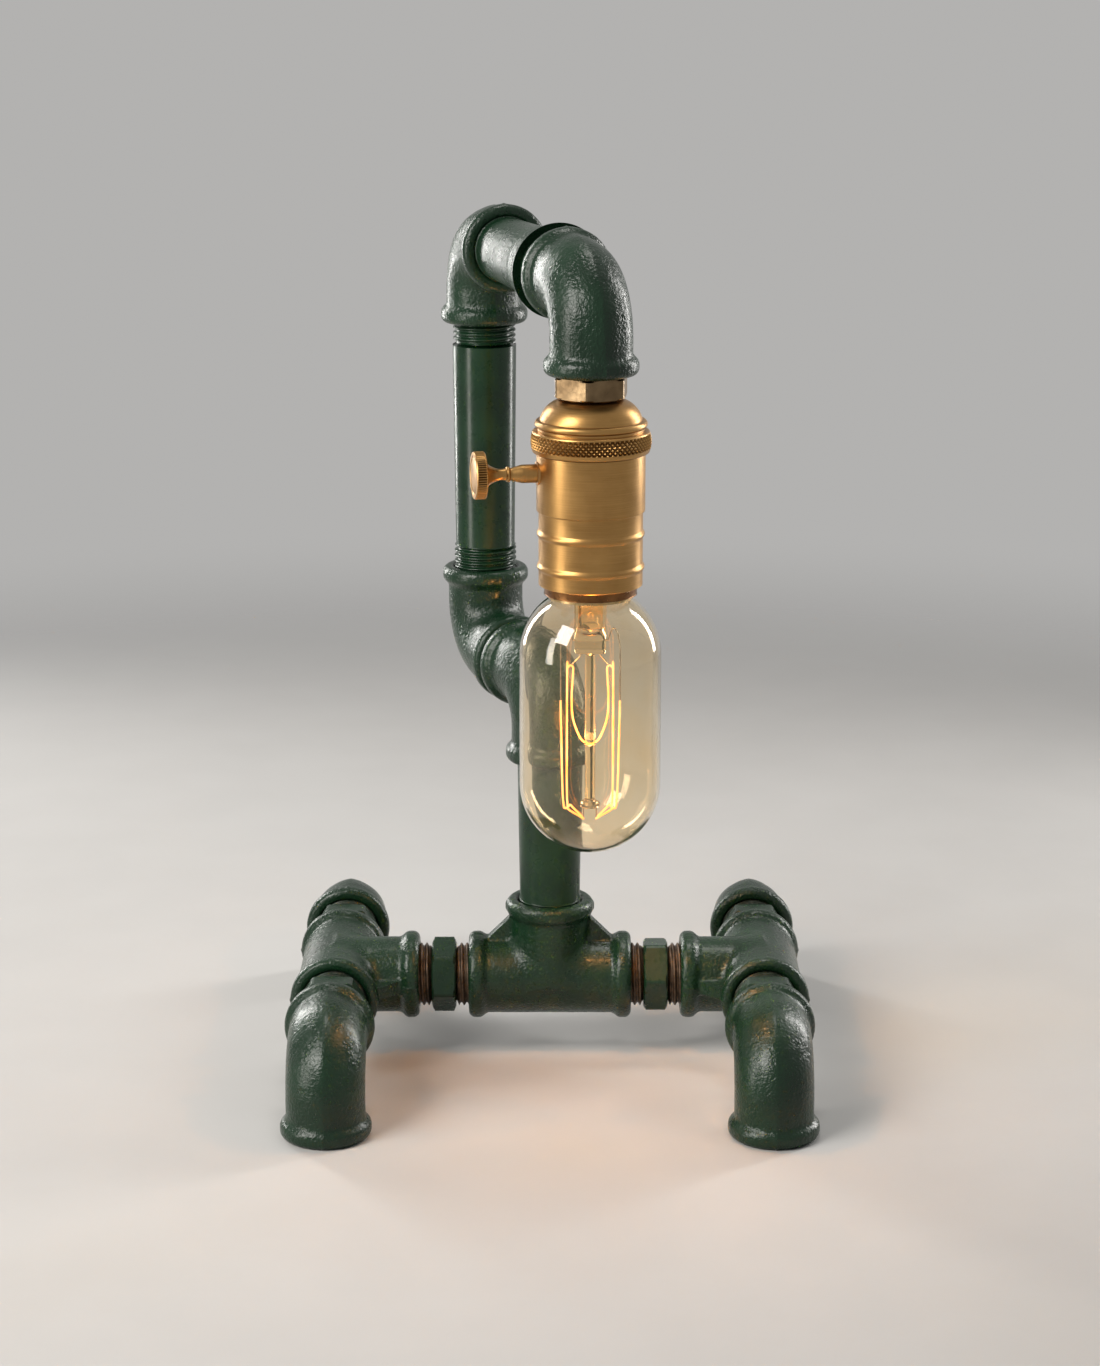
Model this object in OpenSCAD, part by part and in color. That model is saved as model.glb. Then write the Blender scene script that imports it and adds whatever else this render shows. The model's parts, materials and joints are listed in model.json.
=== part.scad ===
// Table lamp of painted half-inch pipe fittings with a keyed brass lampholder and a tubular filament bulb.
// Millimetres. +Z is up, +X is right and the viewer stands at -Y.
// The origin is on the table, midway between the four feet and under the riser.

/* [Fittings] */
// Centre of a tee or elbow to the face of its mouth
fit_reach = 27; // [26:0.5:34]
// Outer radius of a fitting's cast body
body_r = 12.6; // [12.2:0.1:14]
// Outer radius of the bead round each mouth
bead_r = 14.8; // [14.4:0.1:17]
// Width of that bead along the pipe
bead_w = 5.5; // [4.6:0.1:7]
// Rounding of the bead's two edges
bead_round = 2.2; // [1.2:0.1:2.2]
// Radius of an elbow's centre line
bend_r = 16; // [15:0.5:19]
// Bore of the pipes and castings
bore_r = 8; // [6.5:0.1:8.4]
// Depth of the threaded socket in each mouth
socket_depth = 12.5; // [12:0.1:14]
// Height of the raised casting seam
seam_h = 0.35; // [0.2:0.05:0.6]
// Width of the casting seam
seam_w = 1.3; // [0.8:0.1:2]
// Thickness of the webs in a tee's corners
web_t = 4.5; // [3:0.5:7]

/* [Pipe thread] */
// Crest radius of the taper pipe thread
thread_r = 10.475; // [10.2:0.025:10.6]
// Depth of a thread ridge
thread_depth = 1; // [0.6:0.05:1.2]
// Distance from one thread ridge to the next
thread_pitch = 1.814; // [1.4:0.01:2.2]
// Thread screwed into a socket
thread_in = 11; // [9:0.5:11.5]
// Outer radius of the plain pipe
pipe_r = 10.65; // [10.65:0.05:11.2]
// Radial clearance of a thread that swivels
swivel_gap = 0.05; // [0.02:0.01:0.1]

/* [Base] */
// Gap between the centre tee and a side tee
base_gap = 16.5; // [14:0.5:40]
// Gap between a side tee and a foot elbow
foot_gap = 18.5; // [14:0.5:60]
// Width of a nipple's hexagon along the pipe
hex_w = 8; // [5:0.5:10]
// Hexagon of a nipple across its flats
hex_af = 22; // [21.4:0.2:26]
// Corner chamfer of the hexagons
hex_chamfer = 0.8; // [0.4:0.1:1.2]

/* [Column and arm] */
// Riser pipe seen between the centre tee and its elbow
riser_seen = 48; // [35:1:120]
// Gap between the two elbows that set the column back
offset_gap = 2; // [1:0.5:40]
// Column pipe seen between its two elbows
column_seen = 83; // [60:1:220]
// Thread ridges seen at each end of the column pipe
column_ridges = 4; // [1:1:8]
// Length of the cast extension outside the arm elbow
extension_l = 58.3; // [40:0.1:160]
// Outer radius of the extension's barrel
extension_r = 11.2; // [11:0.1:12.4]
// Length of the extension's wide front end
extension_mouth = 15; // [14:0.5:24]
// Gap between the extension and the head elbow
head_gap = 3.7; // [1:0.1:12]
// Bearing of the column from the rear, seen from above
offset_angle = 23; // [-30:1:60]
// Bearing of the arm from the front, seen from above
arm_angle = 17.2; // [-30:0.2:60]

/* [Lampholder] */
// Hexagon of the reducing bushing across its flats
bushing_af = 20.8; // [20:0.2:24]
// Height of the bushing's hexagon
bushing_h = 7; // [4:0.5:10]
// Outer radius of the hollow threaded rod
rod_r = 5; // [4.6:0.1:5.6]
// Bore radius of the hollow rod
rod_bore_r = 3.4; // [3:0.1:3.8]
// Height of the cap's dome above its bead
dome_h = 7.8; // [6.5:0.1:8.5]
// Radius of the dome where it meets the bead
dome_r = 15.6; // [15.4:0.1:16.4]
// Radius of the dome's round shoulder
dome_round = 9; // [8.8:0.1:11]
// Thickness of the brass sheet
sheet_t = 0.8; // [0.6:0.05:1]
// Outer radius of the knurled clamp ring
ring_r = 18.3; // [17.8:0.1:20]
// Height of the clamp ring
ring_h = 6.7; // [5:0.1:9]
// Outer radius of the shell's upper body
shell_r = 16.5; // [16.4:0.1:17.4]
// Height of the shell's upper body
upper_h = 18; // [17:0.5:26]
// Step from the upper body in to the lower body
shell_step = 0.65; // [0.4:0.05:1]
// Height of the shell's lower body
lower_h = 22.8; // [20:0.1:32]
// Outer radius of the shell's two beads past its body
shell_bead = 0.55; // [0.3:0.05:0.9]
// Height of the lower bead above the shell's edge
bead_low = 5.7; // [3:0.1:7]
// Distance between the shell's two beads
bead_step = 10.2; // [6:0.1:12]
// Collar seen below the shell
collar_seen = 2.8; // [1.5:0.1:5]
// Wall of the insulating liner
liner_t = 0.7; // [0.4:0.05:0.8]

/* [Switch key] */
// Height of the key's axis below the clamp ring
key_drop = 6; // [5.5:0.1:8]
// Turn of the key's axis towards the viewer
key_turn = 11; // [-20:1:40]
// Radius of the key's knurled disc
key_disc_r = 7.2; // [5:0.1:9]
// Thickness of the key's disc
key_disc_t = 3.4; // [2:0.1:5]
// Radius of the key's thick stem
key_stem_r = 2.8; // [2.4:0.05:3.2]
// Length of the whole key outside the lamp's axis
key_reach = 36; // [32:0.5:44]
// Radial clearance of the key in its bush
key_gap = 0.08; // [0.04:0.01:0.1]
// Radius of the insulating drum that the key turns
rotor_r = 3; // [2.2:0.1:3]

/* [Bulb] */
// Outer radius of the bulb's glass
bulb_r = 21.8; // [18:0.1:30]
// Straight length of the glass between its two domes
bulb_straight = 41; // [20:0.5:60]
// Thickness of the bulb's glass
glass_t = 0.9; // [0.6:0.1:1.4]
// Outer radius of the bulb's screw cap
cap_r = 13; // [12.6:0.05:13.05]
// Radial clearance between the cap and the screw shell
cap_gap = 0.15; // [0.1:0.01:0.3]
// Length of the cap's brass screw
cap_screw_h = 19; // [17:0.5:19.5]
// Cap seen below the collar
cap_seen = 1.1; // [0.5:0.1:3]
// Radius of the filament wire
filament_r = 0.25; // [0.15:0.05:0.4]
// Radius of the wires that carry it
wire_r = 0.2; // [0.15:0.05:0.35]

/* [Cord way] */
// Bore radius of the rubber grommet
grommet_bore_r = 3.2; // [2.6:0.1:3.4]
// Radius of the hole drilled in the centre tee
grommet_hole_r = 4.6; // [4.4:0.1:5.4]
// Radius of the lead inside the pipes
lead_r = 2.3; // [1.6:0.1:2.6]

/* [Hidden] */
$fn = 96;

iron = "#23402f";
bare_iron = "#3b3027";
brass = "#c79a5b";
copper = "#b9774a";
nickel = "#a58e6c";
rubber = "#1c1c1c";
clear = [0.95, 0.9, 0.82, 0.35];
ceramic = "#e6e0d2";

// Where the castings stand
side_x = 2 * fit_reach + base_gap;
foot_y = 2 * fit_reach + foot_gap;
base_z = fit_reach;
tee_top = base_z + fit_reach;
riser_z = tee_top + riser_seen + fit_reach;
offset_l = 2 * fit_reach + offset_gap;
arm_z = riser_z + 2 * fit_reach + column_seen;
arm_l = 2 * fit_reach + extension_l + head_gap;
column_x = -offset_l * sin(offset_angle);
column_y = offset_l * cos(offset_angle);
head_x = column_x + arm_l * sin(arm_angle);
head_y = column_y - arm_l * cos(arm_angle);
to_column = 90 + offset_angle;
to_head = arm_angle - 90;

// Levels of the lampholder, from the head elbow's mouth down
head_top = arm_z - fit_reach;
dome_top = head_top - bushing_h;
dome_bead_z = dome_top - dome_h;
ring_top = dome_bead_z - 2;
ring_bottom = ring_top - ring_h;
key_z = ring_bottom - key_drop;
step_z = ring_bottom - upper_h;
shell_bottom = step_z - lower_h;
collar_bottom = shell_bottom - collar_seen;
cap_bottom = collar_bottom - cap_seen;
body_top = ring_bottom - 1.3;
body_bottom = cap_bottom + cap_screw_h + 6.7;
plate_h = 0.7;
sleeve_h = 7;
screw_turns = 5;
screw_step = 1.5;
screw_pitch = (body_bottom - plate_h - collar_bottom - screw_step) / screw_turns;

// Radii of the lampholder, from the screw cap out
screw_in_r = cap_r + cap_gap;
screw_out_r = screw_in_r + 0.75;
lower_r = shell_r - shell_step;
liner_out_r = lower_r - sheet_t;
liner_in_r = liner_out_r - liner_t;
collar_r = liner_in_r + 0.1;
skirt_out_r = shell_r - 0.3;
skirt_in_r = skirt_out_r - sheet_t - 0.1;
bush_in_r = key_stem_r + key_gap;
bush_out_r = bush_in_r + 0.7;
terminal_y = liner_in_r - 5.35;
terminal_r = 1.5;
terminal_h = 4;
key_core_r = 1.5;
rotor_start = -3.5;
rotor_gap = 0.4;

// The bulb's cap, and the centres of the glass's two domes
cap_wall = 1;
cap_in_r = cap_r - 2 * cap_wall;
cap_lip = 6;
button_r = 4.6;
button_h = 1.2;
insulator_h = 3.4;
neck_r = cap_r - cap_wall;
shoulder_z = cap_bottom - sqrt(bulb_r * bulb_r - neck_r * neck_r);
tip_z = shoulder_z - bulb_straight;
stem_r = 4.9;
pinch_top = shoulder_z + 6;
pinch_bottom = shoulder_z;
glass_rod_r = 1.6;
rod_end = tip_z - 7;

// ---------- shared shapes ----------

// Moves its children to the axis of the column, the head or the key
module at_column(z) translate([column_x, column_y, z]) children();
module at_head(z = 0) translate([head_x, head_y, z]) children();
module along_key() at_head(key_z) rotate([0, 0, 180 + key_turn]) rotate([0, 90, 0]) children();

// A ring between two radii, standing on z = 0
module ring(outer, inner, h) {
    difference() {
        cylinder(h = h, r = outer);
        translate([0, 0, -1]) cylinder(h = h + 2, r = inner);
    }
}

// Half profile of the rounded bead, whose face is the line y = 0
module bead_profile() {
    inner = body_r - 1;
    translate([inner, -bead_w]) square([bead_r - bead_round - inner, bead_w]);
    translate([inner, bead_round - bead_w]) square([bead_r - inner, bead_w - 2 * bead_round]);
    for (y = [-bead_round, bead_round - bead_w])
        translate([bead_r - bead_round, y]) circle(bead_round);
}

// A mouth's bead at the end of a leg that points along +Z
module bead() translate([0, 0, fit_reach]) rotate_extrude() bead_profile();

// The threaded socket cut in such a leg
module socket(r) {
    translate([0, 0, fit_reach - socket_depth]) cylinder(h = socket_depth + 1, r = r);
    translate([0, 0, fit_reach - 0.7]) cylinder(h = 0.71, r1 = r, r2 = r + 0.7);
}

// A quarter of a ring swept from the leg along +X to the leg along +Z
module quarter() {
    translate([bend_r, 0, bend_r]) rotate([90, 0, 0]) rotate([0, 0, 180])
        rotate_extrude(angle = 90) translate([bend_r, 0]) children();
}

// A strip of the casting seam along a leg, on its outer side
module seam_leg() {
    translate([-body_r - seam_h, -seam_w / 2, bend_r]) cube([1, seam_w, fit_reach - bead_w + 1 - bend_r]);
    translate([-bead_r - seam_h / 2, -seam_w / 2, fit_reach - bead_w + bead_round])
        cube([1, seam_w, bead_w - 2 * bead_round]);
}

// A beaded elbow with mouths along +X and +Z, whose sockets have the two radii
module elbow(x_socket = thread_r, z_socket = thread_r) {
    leg = fit_reach - bend_r;
    difference() {
        union() {
            quarter() circle(body_r);
            translate([0, 0, bend_r]) cylinder(h = leg, r = body_r);
            translate([bend_r, 0, 0]) rotate([0, 90, 0]) cylinder(h = leg, r = body_r);
            bead();
            rotate([0, 90, 0]) bead();
            quarter() translate([body_r - 0.6, -seam_w / 2]) square([0.6 + seam_h, seam_w]);
            seam_leg();
            mirror([1, 0, -1]) seam_leg();
        }
        quarter() circle(bore_r);
        translate([0, 0, bend_r]) cylinder(h = leg, r = bore_r);
        translate([bend_r, 0, 0]) rotate([0, 90, 0]) cylinder(h = leg, r = bore_r);
        socket(z_socket);
        rotate([0, 90, 0]) socket(x_socket);
    }
}

// The web that fills one corner of a tee
module web() {
    side = fit_reach - bead_w - body_r;
    start = body_r - 0.8;
    rotate([90, 0, 0]) linear_extrude(web_t, center = true) difference() {
        translate([start, start]) square(side + 0.8);
        translate([body_r + side, body_r + side]) circle(side);
    }
}

// A beaded tee that runs along X, with its branch along +Z
module tee() {
    difference() {
        union() {
            rotate([0, 90, 0]) cylinder(h = 2 * fit_reach, r = body_r, center = true);
            cylinder(h = fit_reach, r = body_r);
            bead();
            for (side = [-1, 1]) {
                rotate([0, 90 * side, 0]) bead();
                scale([side, 1, 1]) web();
            }
            translate([-fit_reach + bead_w - 1, -seam_w / 2, -body_r - seam_h])
                cube([2 * (fit_reach - bead_w + 1), seam_w, 1]);
        }
        rotate([0, 90, 0]) cylinder(h = 2 * fit_reach, r = bore_r, center = true);
        cylinder(h = fit_reach, r = bore_r);
        socket(thread_r);
        for (side = [-1, 1]) rotate([0, 90 * side, 0]) socket(thread_r);
    }
}

// Open thread ridges along +Z from z = 0, as many as fit in the length
module ridges(length) {
    count = floor(length / thread_pitch + 0.01);
    root = thread_r - thread_depth;
    rotate_extrude() polygon(concat([[bore_r, 0]],
        [for (i = [0:count - 1]) each [[root, i * thread_pitch], [thread_r, (i + 0.5) * thread_pitch]]],
        [[root, count * thread_pitch], [root, length], [bore_r, length]]));
}

// A hexagonal prism with chamfered corners, standing on z = 0
module hexagon(af, h) {
    corner_r = af / sqrt(3);
    intersection() {
        cylinder(h = h, r = corner_r, $fn = 6);
        union() {
            cylinder(h = hex_chamfer, r1 = corner_r - hex_chamfer, r2 = corner_r + 0.01);
            translate([0, 0, hex_chamfer]) cylinder(h = h - 2 * hex_chamfer, r = corner_r + 0.01);
            translate([0, 0, h - hex_chamfer])
                cylinder(h = hex_chamfer, r1 = corner_r + 0.01, r2 = corner_r - hex_chamfer);
        }
    }
}

// A hexagon nipple along Z, centred in the gap that it bridges
module hex_nipple(gap, turn) {
    side = (gap - hex_w) / 2;
    difference() {
        union() {
            rotate([0, 0, turn]) translate([0, 0, -hex_w / 2]) hexagon(hex_af, hex_w);
            for (m = [0, 1]) mirror([0, 0, m]) {
                translate([0, 0, hex_w / 2]) ridges(side);
                translate([0, 0, gap / 2]) ring(thread_r, bore_r, thread_in);
            }
        }
        cylinder(h = gap, r = bore_r, center = true);
    }
}

// A short threaded nipple along +Z that bridges a gap from z = 0
module close_nipple(gap, r = thread_r) {
    ridges(gap);
    translate([0, 0, -thread_in]) ring(thread_r, bore_r, thread_in);
    translate([0, 0, gap]) ring(thread_r, bore_r, thread_in);
}

// A tube swept along points, with flat ends square to the path
function unit(v) = v / norm(v);
function tangent(p, i) = unit(p[min(i + 1, len(p) - 1)] - p[max(i - 1, 0)]);
function square_to(n, t) = unit(n - (n * t) * t);
function sides_of(p, n, i = 0) = i == len(p) ? []
    : let (m = square_to(n, tangent(p, i))) concat([m], sides_of(p, m, i + 1));
module wire(p, r, sides = 8) {
    start = tangent(p, 0);
    normals = sides_of(p, abs(start.z) < 0.9 ? [0, 0, 1] : [1, 0, 0]);
    rings = [for (i = [0:len(p) - 1], k = [0:sides - 1])
        let (t = tangent(p, i), a = 360 * k / sides)
        p[i] + r * (cos(a) * normals[i] + sin(a) * cross(t, normals[i]))];
    last = (len(p) - 1) * sides;
    polyhedron(rings, concat(
        [[for (k = [0:sides - 1]) k], [for (k = [sides - 1:-1:0]) last + k]],
        [for (i = [0:len(p) - 2], k = [0:sides - 1]) let (a = i * sides, b = (k + 1) % sides)
            each [[a + k, a + sides + k, a + b], [a + b, a + sides + k, a + sides + b]]]));
}

// Points of a quarter bend in the X-Z plane, from angle a0 to a1 round a centre
function bend(cx, cz, a0, a1) = [for (i = [0:6]) let (a = a0 + (a1 - a0) * i / 6)
    [cx + bend_r * cos(a), 0, cz + bend_r * sin(a)]];

// ---------- base ----------

module centre_tee() {
    color(iron) difference() {
        translate([0, 0, base_z]) tee();
        translate([0, 0, base_z]) rotate([-90, 0, 0]) cylinder(h = bead_r, r = grommet_hole_r);
    }
}

module side_tee(side) translate([side * side_x, 0, base_z]) rotate([90, 0, -90 * side]) color(iron) tee();
module side_tee_left() side_tee(-1);
module side_tee_right() side_tee(1);

module base_nipple(side, turn) {
    translate([side * side_x / 2, 0, base_z]) rotate([0, 90, 0]) color(bare_iron) hex_nipple(base_gap, turn);
}
module base_nipple_left() base_nipple(-1, -14);
module base_nipple_right() base_nipple(1, -37);

module foot_nipple(side, end) {
    translate([side * side_x, end * foot_y / 2, base_z]) rotate([90, 0, 0])
        color(bare_iron) hex_nipple(foot_gap, 0);
}
module foot_nipple_front_left() foot_nipple(-1, -1);
module foot_nipple_front_right() foot_nipple(1, -1);
module foot_nipple_rear_left() foot_nipple(-1, 1);
module foot_nipple_rear_right() foot_nipple(1, 1);

module foot_elbow(side, end) {
    translate([side * side_x, end * foot_y, base_z]) rotate([0, 0, -90 * end]) rotate([180, 0, 0])
        color(iron) elbow();
}
module foot_elbow_front_left() foot_elbow(-1, -1);
module foot_elbow_front_right() foot_elbow(1, -1);
module foot_elbow_rear_left() foot_elbow(-1, 1);
module foot_elbow_rear_right() foot_elbow(1, 1);

module riser_pipe() {
    end = riser_seen - 0.5;
    color(iron) translate([0, 0, tee_top]) {
        ring(pipe_r, bore_r, end);
        translate([0, 0, -thread_in]) ring(thread_r, bore_r, thread_in);
        translate([0, 0, end]) ring(thread_r, bore_r, thread_in + 0.5);
    }
}

module cord_grommet() {
    lip = 1.6;
    color(rubber) translate([0, 0, base_z]) rotate([-90, 0, 0]) difference() {
        union() {
            translate([0, 0, bore_r]) cylinder(h = body_r - bore_r, r = grommet_hole_r);
            difference() {
                translate([0, 0, body_r - 2]) cylinder(h = 2 + lip, r = grommet_hole_r + 1.6);
                rotate([0, 90, 0]) cylinder(h = 4 * body_r, r = body_r, center = true);
                rotate([90, 0, 0]) cylinder(h = 2 * body_r, r = body_r);
            }
        }
        cylinder(h = 2 * body_r, r = grommet_bore_r);
    }
}

module lead_base() {
    start_y = bore_r - lead_r - 1;
    color(rubber) wire([[0, start_y, base_z], [0, 3.2, base_z + 0.5], [0, 1.6, base_z + 1.6],
        [0, 0.5, base_z + 3.2], [0, 0, base_z + 5.5],
        [0, 0, riser_z - fit_reach + thread_in / 2 - 0.2]], lead_r);
}

// ---------- column ----------

module riser_elbow() {
    translate([0, 0, riser_z]) rotate([0, 0, to_column]) rotate([180, 0, 0])
        color(iron) elbow(z_socket = thread_r + swivel_gap);
}

module offset_nipple() {
    translate([0, 0, riser_z]) rotate([0, 0, to_column]) rotate([0, 90, 0])
        translate([0, 0, fit_reach]) color(bare_iron) close_nipple(offset_gap);
}

module column_elbow() at_column(riser_z) rotate([0, 0, to_column + 180]) color(iron) elbow();

module column_pipe() {
    threads = column_ridges * thread_pitch;
    color(iron) at_column(riser_z + fit_reach) {
        translate([0, 0, -thread_in]) ring(thread_r, bore_r, thread_in);
        ridges(threads);
        translate([0, 0, threads]) ring(pipe_r, bore_r, column_seen - 2 * threads);
        translate([0, 0, column_seen - threads]) ridges(threads);
        translate([0, 0, column_seen]) ring(thread_r, bore_r, thread_in);
    }
}

module lead_column() {
    start = fit_reach - thread_in / 2 - 0.2;
    end = arm_z - riser_z - fit_reach + thread_in / 2 - 0.2;
    color(rubber) translate([0, 0, riser_z]) rotate([0, 0, to_column])
        wire(concat([[0, 0, -start]], bend(bend_r, -bend_r, 180, 90),
            bend(offset_l - bend_r, bend_r, -90, 0), [[offset_l, 0, end]]), lead_r);
}

// ---------- arm ----------

module arm_elbow() {
    at_column(arm_z) rotate([0, 0, to_head]) rotate([180, 0, 0])
        color(iron) elbow(z_socket = thread_r + swivel_gap);
}

module arm_extension() {
    flare = 6;
    front = extension_l - extension_mouth;
    color(iron) at_column(arm_z) rotate([0, 0, to_head]) rotate([0, 90, 0]) translate([0, 0, fit_reach]) {
        translate([0, 0, -thread_in]) ring(thread_r, bore_r, thread_in);
        ridges(thread_pitch);
        difference() {
            union() {
                translate([0, 0, thread_pitch]) cylinder(h = front - thread_pitch, r = extension_r);
                translate([0, 0, front - flare]) cylinder(h = flare, r1 = extension_r, r2 = body_r);
                translate([0, 0, front]) cylinder(h = extension_mouth, r = body_r);
                translate([0, 0, extension_l]) rotate_extrude() bead_profile();
            }
            translate([0, 0, -1]) cylinder(h = extension_l + 2, r = bore_r);
            translate([0, 0, extension_l - fit_reach]) socket(thread_r + swivel_gap);
        }
    }
}

module lead_arm() {
    start = fit_reach - thread_in / 2 - 0.2;
    end = fit_reach + extension_l - thread_in / 2 - 0.2;
    color(rubber) at_column(arm_z) rotate([0, 0, to_head])
        wire(concat([[0, 0, -start]], bend(bend_r, -bend_r, 180, 90), [[end, 0, 0]]), lead_r);
}

// ---------- head ----------

module head_nipple() {
    at_column(arm_z) rotate([0, 0, to_head]) rotate([0, 90, 0])
        translate([0, 0, fit_reach + extension_l]) color(bare_iron) close_nipple(head_gap);
}

module head_elbow() at_head(arm_z) rotate([0, 0, to_head + 180]) rotate([180, 0, 0]) color(iron) elbow();

module hex_bushing() {
    color(nickel) at_head() difference() {
        union() {
            translate([0, 0, dome_top]) rotate([0, 0, 24]) hexagon(bushing_af, bushing_h);
            translate([0, 0, head_top - 0.5]) cylinder(h = thread_in + 0.5, r = thread_r);
        }
        translate([0, 0, dome_top - 1]) cylinder(h = bushing_h + thread_in + 2, r = rod_r);
    }
}

module lamp_rod() {
    bottom = dome_top - 7.5;
    color(nickel) at_head(bottom) ring(rod_r, rod_bore_r, head_top + thread_in + 1 - bottom);
}

module lock_nut() {
    nut_h = 3.5;
    color(nickel) at_head(dome_top - sheet_t - nut_h) difference() {
        hexagon(14, nut_h);
        translate([0, 0, -1]) cylinder(h = nut_h + 2, r = rod_r);
    }
}

// Half profile of the dome with the given shoulder, filled to the axis
module dome_profile(round, h) {
    centre = dome_r - dome_round;
    translate([0, dome_bead_z]) square([centre, h]);
    intersection() {
        translate([centre, dome_bead_z]) circle(round);
        translate([0, dome_bead_z]) square([2 * dome_r, h]);
    }
}

module socket_cap() {
    skirt_bottom = ring_bottom + 1;
    color(brass) at_head() rotate_extrude() {
        difference() {
            dome_profile(dome_round, dome_h);
            dome_profile(dome_round - sheet_t, dome_h - sheet_t);
            translate([0, dome_bead_z]) square([rod_r, dome_h + 1]);
        }
        translate([dome_r - sheet_t, dome_bead_z]) square([skirt_out_r - dome_r + sheet_t, sheet_t]);
        difference() {
            translate([skirt_out_r - 0.4, dome_bead_z]) circle(1.25);
            translate([0, dome_bead_z - 2]) square([skirt_in_r, 4]);
        }
        translate([skirt_in_r, skirt_bottom])
            square([skirt_out_r - skirt_in_r, dome_bead_z - skirt_bottom]);
    }
}

module clamp_ring() {
    bulge = 8;
    color(brass) at_head(ring_bottom) rotate_extrude() intersection() {
        translate([skirt_out_r, 0]) square([ring_r - skirt_out_r + 1, ring_h]);
        translate([ring_r - bulge, ring_h / 2]) circle(bulge);
    }
}

module socket_shell() {
    spigot_h = ring_h - 1.6;
    neck_in = skirt_in_r - sheet_t;
    color(brass) at_head() difference() {
        rotate_extrude() {
            translate([neck_in, ring_bottom - sheet_t]) square([sheet_t, spigot_h + sheet_t]);
            translate([neck_in, ring_bottom - sheet_t]) square([shell_r - neck_in, sheet_t]);
            translate([shell_r - sheet_t, step_z]) square([sheet_t, upper_h]);
            translate([liner_out_r, step_z]) square([shell_r - liner_out_r, sheet_t]);
            translate([liner_out_r, shell_bottom]) square([sheet_t, lower_h + sheet_t]);
            for (z = [bead_low, bead_low + bead_step]) difference() {
                translate([lower_r - 0.3, shell_bottom + z]) circle(shell_bead + 0.3);
                translate([0, shell_bottom + z - 2]) square([liner_out_r, 4]);
            }
        }
        translate([0, 0, key_z]) rotate([0, 0, 180 + key_turn]) rotate([0, 90, 0])
            cylinder(h = ring_r, r = bush_out_r);
    }
}

module insulating_liner() {
    color("#8d8478") at_head() difference() {
        translate([0, 0, shell_bottom + 0.8])
            ring(liner_out_r, liner_in_r, body_top - shell_bottom - 3);
        translate([0, 0, key_z]) rotate([0, 0, 180 + key_turn]) rotate([0, 90, 0])
            cylinder(h = ring_r, r = bush_out_r + 0.6);
    }
}

module switch_body() {
    color(ceramic) at_head() difference() {
        translate([0, 0, body_bottom]) cylinder(h = body_top - body_bottom, r = liner_in_r);
        translate([0, 0, key_z]) rotate([0, 0, 180 + key_turn]) rotate([0, 90, 0])
            translate([0, 0, rotor_start - rotor_gap])
                cylinder(h = shell_r - rotor_start, r = rotor_r + rotor_gap);
        for (side = [-1, 1]) translate([0, side * terminal_y, body_top - terminal_h])
            cylinder(h = terminal_h + 1, r = terminal_r);
    }
}

module screw_shell() {
    groove = 0.35;
    color(brass) at_head(collar_bottom + screw_step) {
        rotate_extrude() polygon(concat(
            [for (i = [0:screw_turns - 1]) each
                [[screw_in_r + groove, i * screw_pitch], [screw_in_r, (i + 0.5) * screw_pitch]]],
            [[screw_in_r + groove, screw_turns * screw_pitch], [screw_out_r, screw_turns * screw_pitch],
                [screw_out_r, 0]]));
        translate([0, 0, screw_turns * screw_pitch]) ring(screw_out_r, screw_in_r - 5, plate_h);
    }
}

module centre_contact() {
    spring_l = 6;
    contact_z = cap_bottom + cap_screw_h + insulator_h + button_h + 0.5;
    color(brass) at_head() {
        translate([-spring_l / 2, -2, contact_z]) cube([spring_l, 4, plate_h]);
        translate([spring_l / 2 - plate_h, -2, contact_z]) cube([plate_h, 4, body_bottom - contact_z]);
    }
}

module fixed_contacts() {
    plate_l = 8;
    color(brass) at_head(body_top) for (side = [-1, 1]) translate([0, side * terminal_y, 0]) difference() {
        translate([-2.5, -plate_l / 2, 0]) cube([5, plate_l, plate_h]);
        translate([0, 0, -1]) cylinder(h = plate_h + 2, r = terminal_r);
    }
}

module terminal_screws() {
    head_h = 1.8;
    slot = 0.7;
    color(brass) at_head(body_top) for (side = [-1, 1]) translate([0, side * terminal_y, 0]) {
        translate([0, 0, 0.5 - terminal_h]) cylinder(h = terminal_h - 0.5 + plate_h, r = terminal_r);
        difference() {
            translate([0, 0, plate_h]) cylinder(h = head_h, r = terminal_r + 0.9);
            translate([-terminal_r * 2, -slot / 2, plate_h + head_h - slot])
                cube([terminal_r * 4, slot, head_h]);
        }
    }
}

module lower_collar() {
    color(copper) at_head() {
        translate([0, 0, collar_bottom]) ring(collar_r, screw_out_r, collar_seen);
        translate([0, 0, shell_bottom]) ring(liner_in_r, screw_out_r, sleeve_h);
    }
}

module key_bush() {
    color(brass) along_key() translate([0, 0, liner_out_r])
        ring(bush_out_r, bush_in_r, shell_r + 0.3 - liner_out_r);
}

module lead_head() {
    start = head_gap / 2 + fit_reach - 0.2 + thread_in / 2;
    fork = dome_top - 9;
    color(rubber) {
        at_head(arm_z) rotate([0, 0, to_head + 180])
            wire(concat([[start, 0, 0]], bend(bend_r, -bend_r, 90, 180), [[0, 0, fork - arm_z]]), lead_r);
        for (side = [-1, 1]) at_head() wire([[0, side * 1.1, fork], [0, side * 1.6, fork - 1.5],
            [0, side * (terminal_y - 4), body_top + 4.5], [0, side * (terminal_y - 1.5), body_top + 3.9],
            [0, side * terminal_y, body_top + 3.4]], 0.8);
    }
}

// ---------- key ----------

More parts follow.
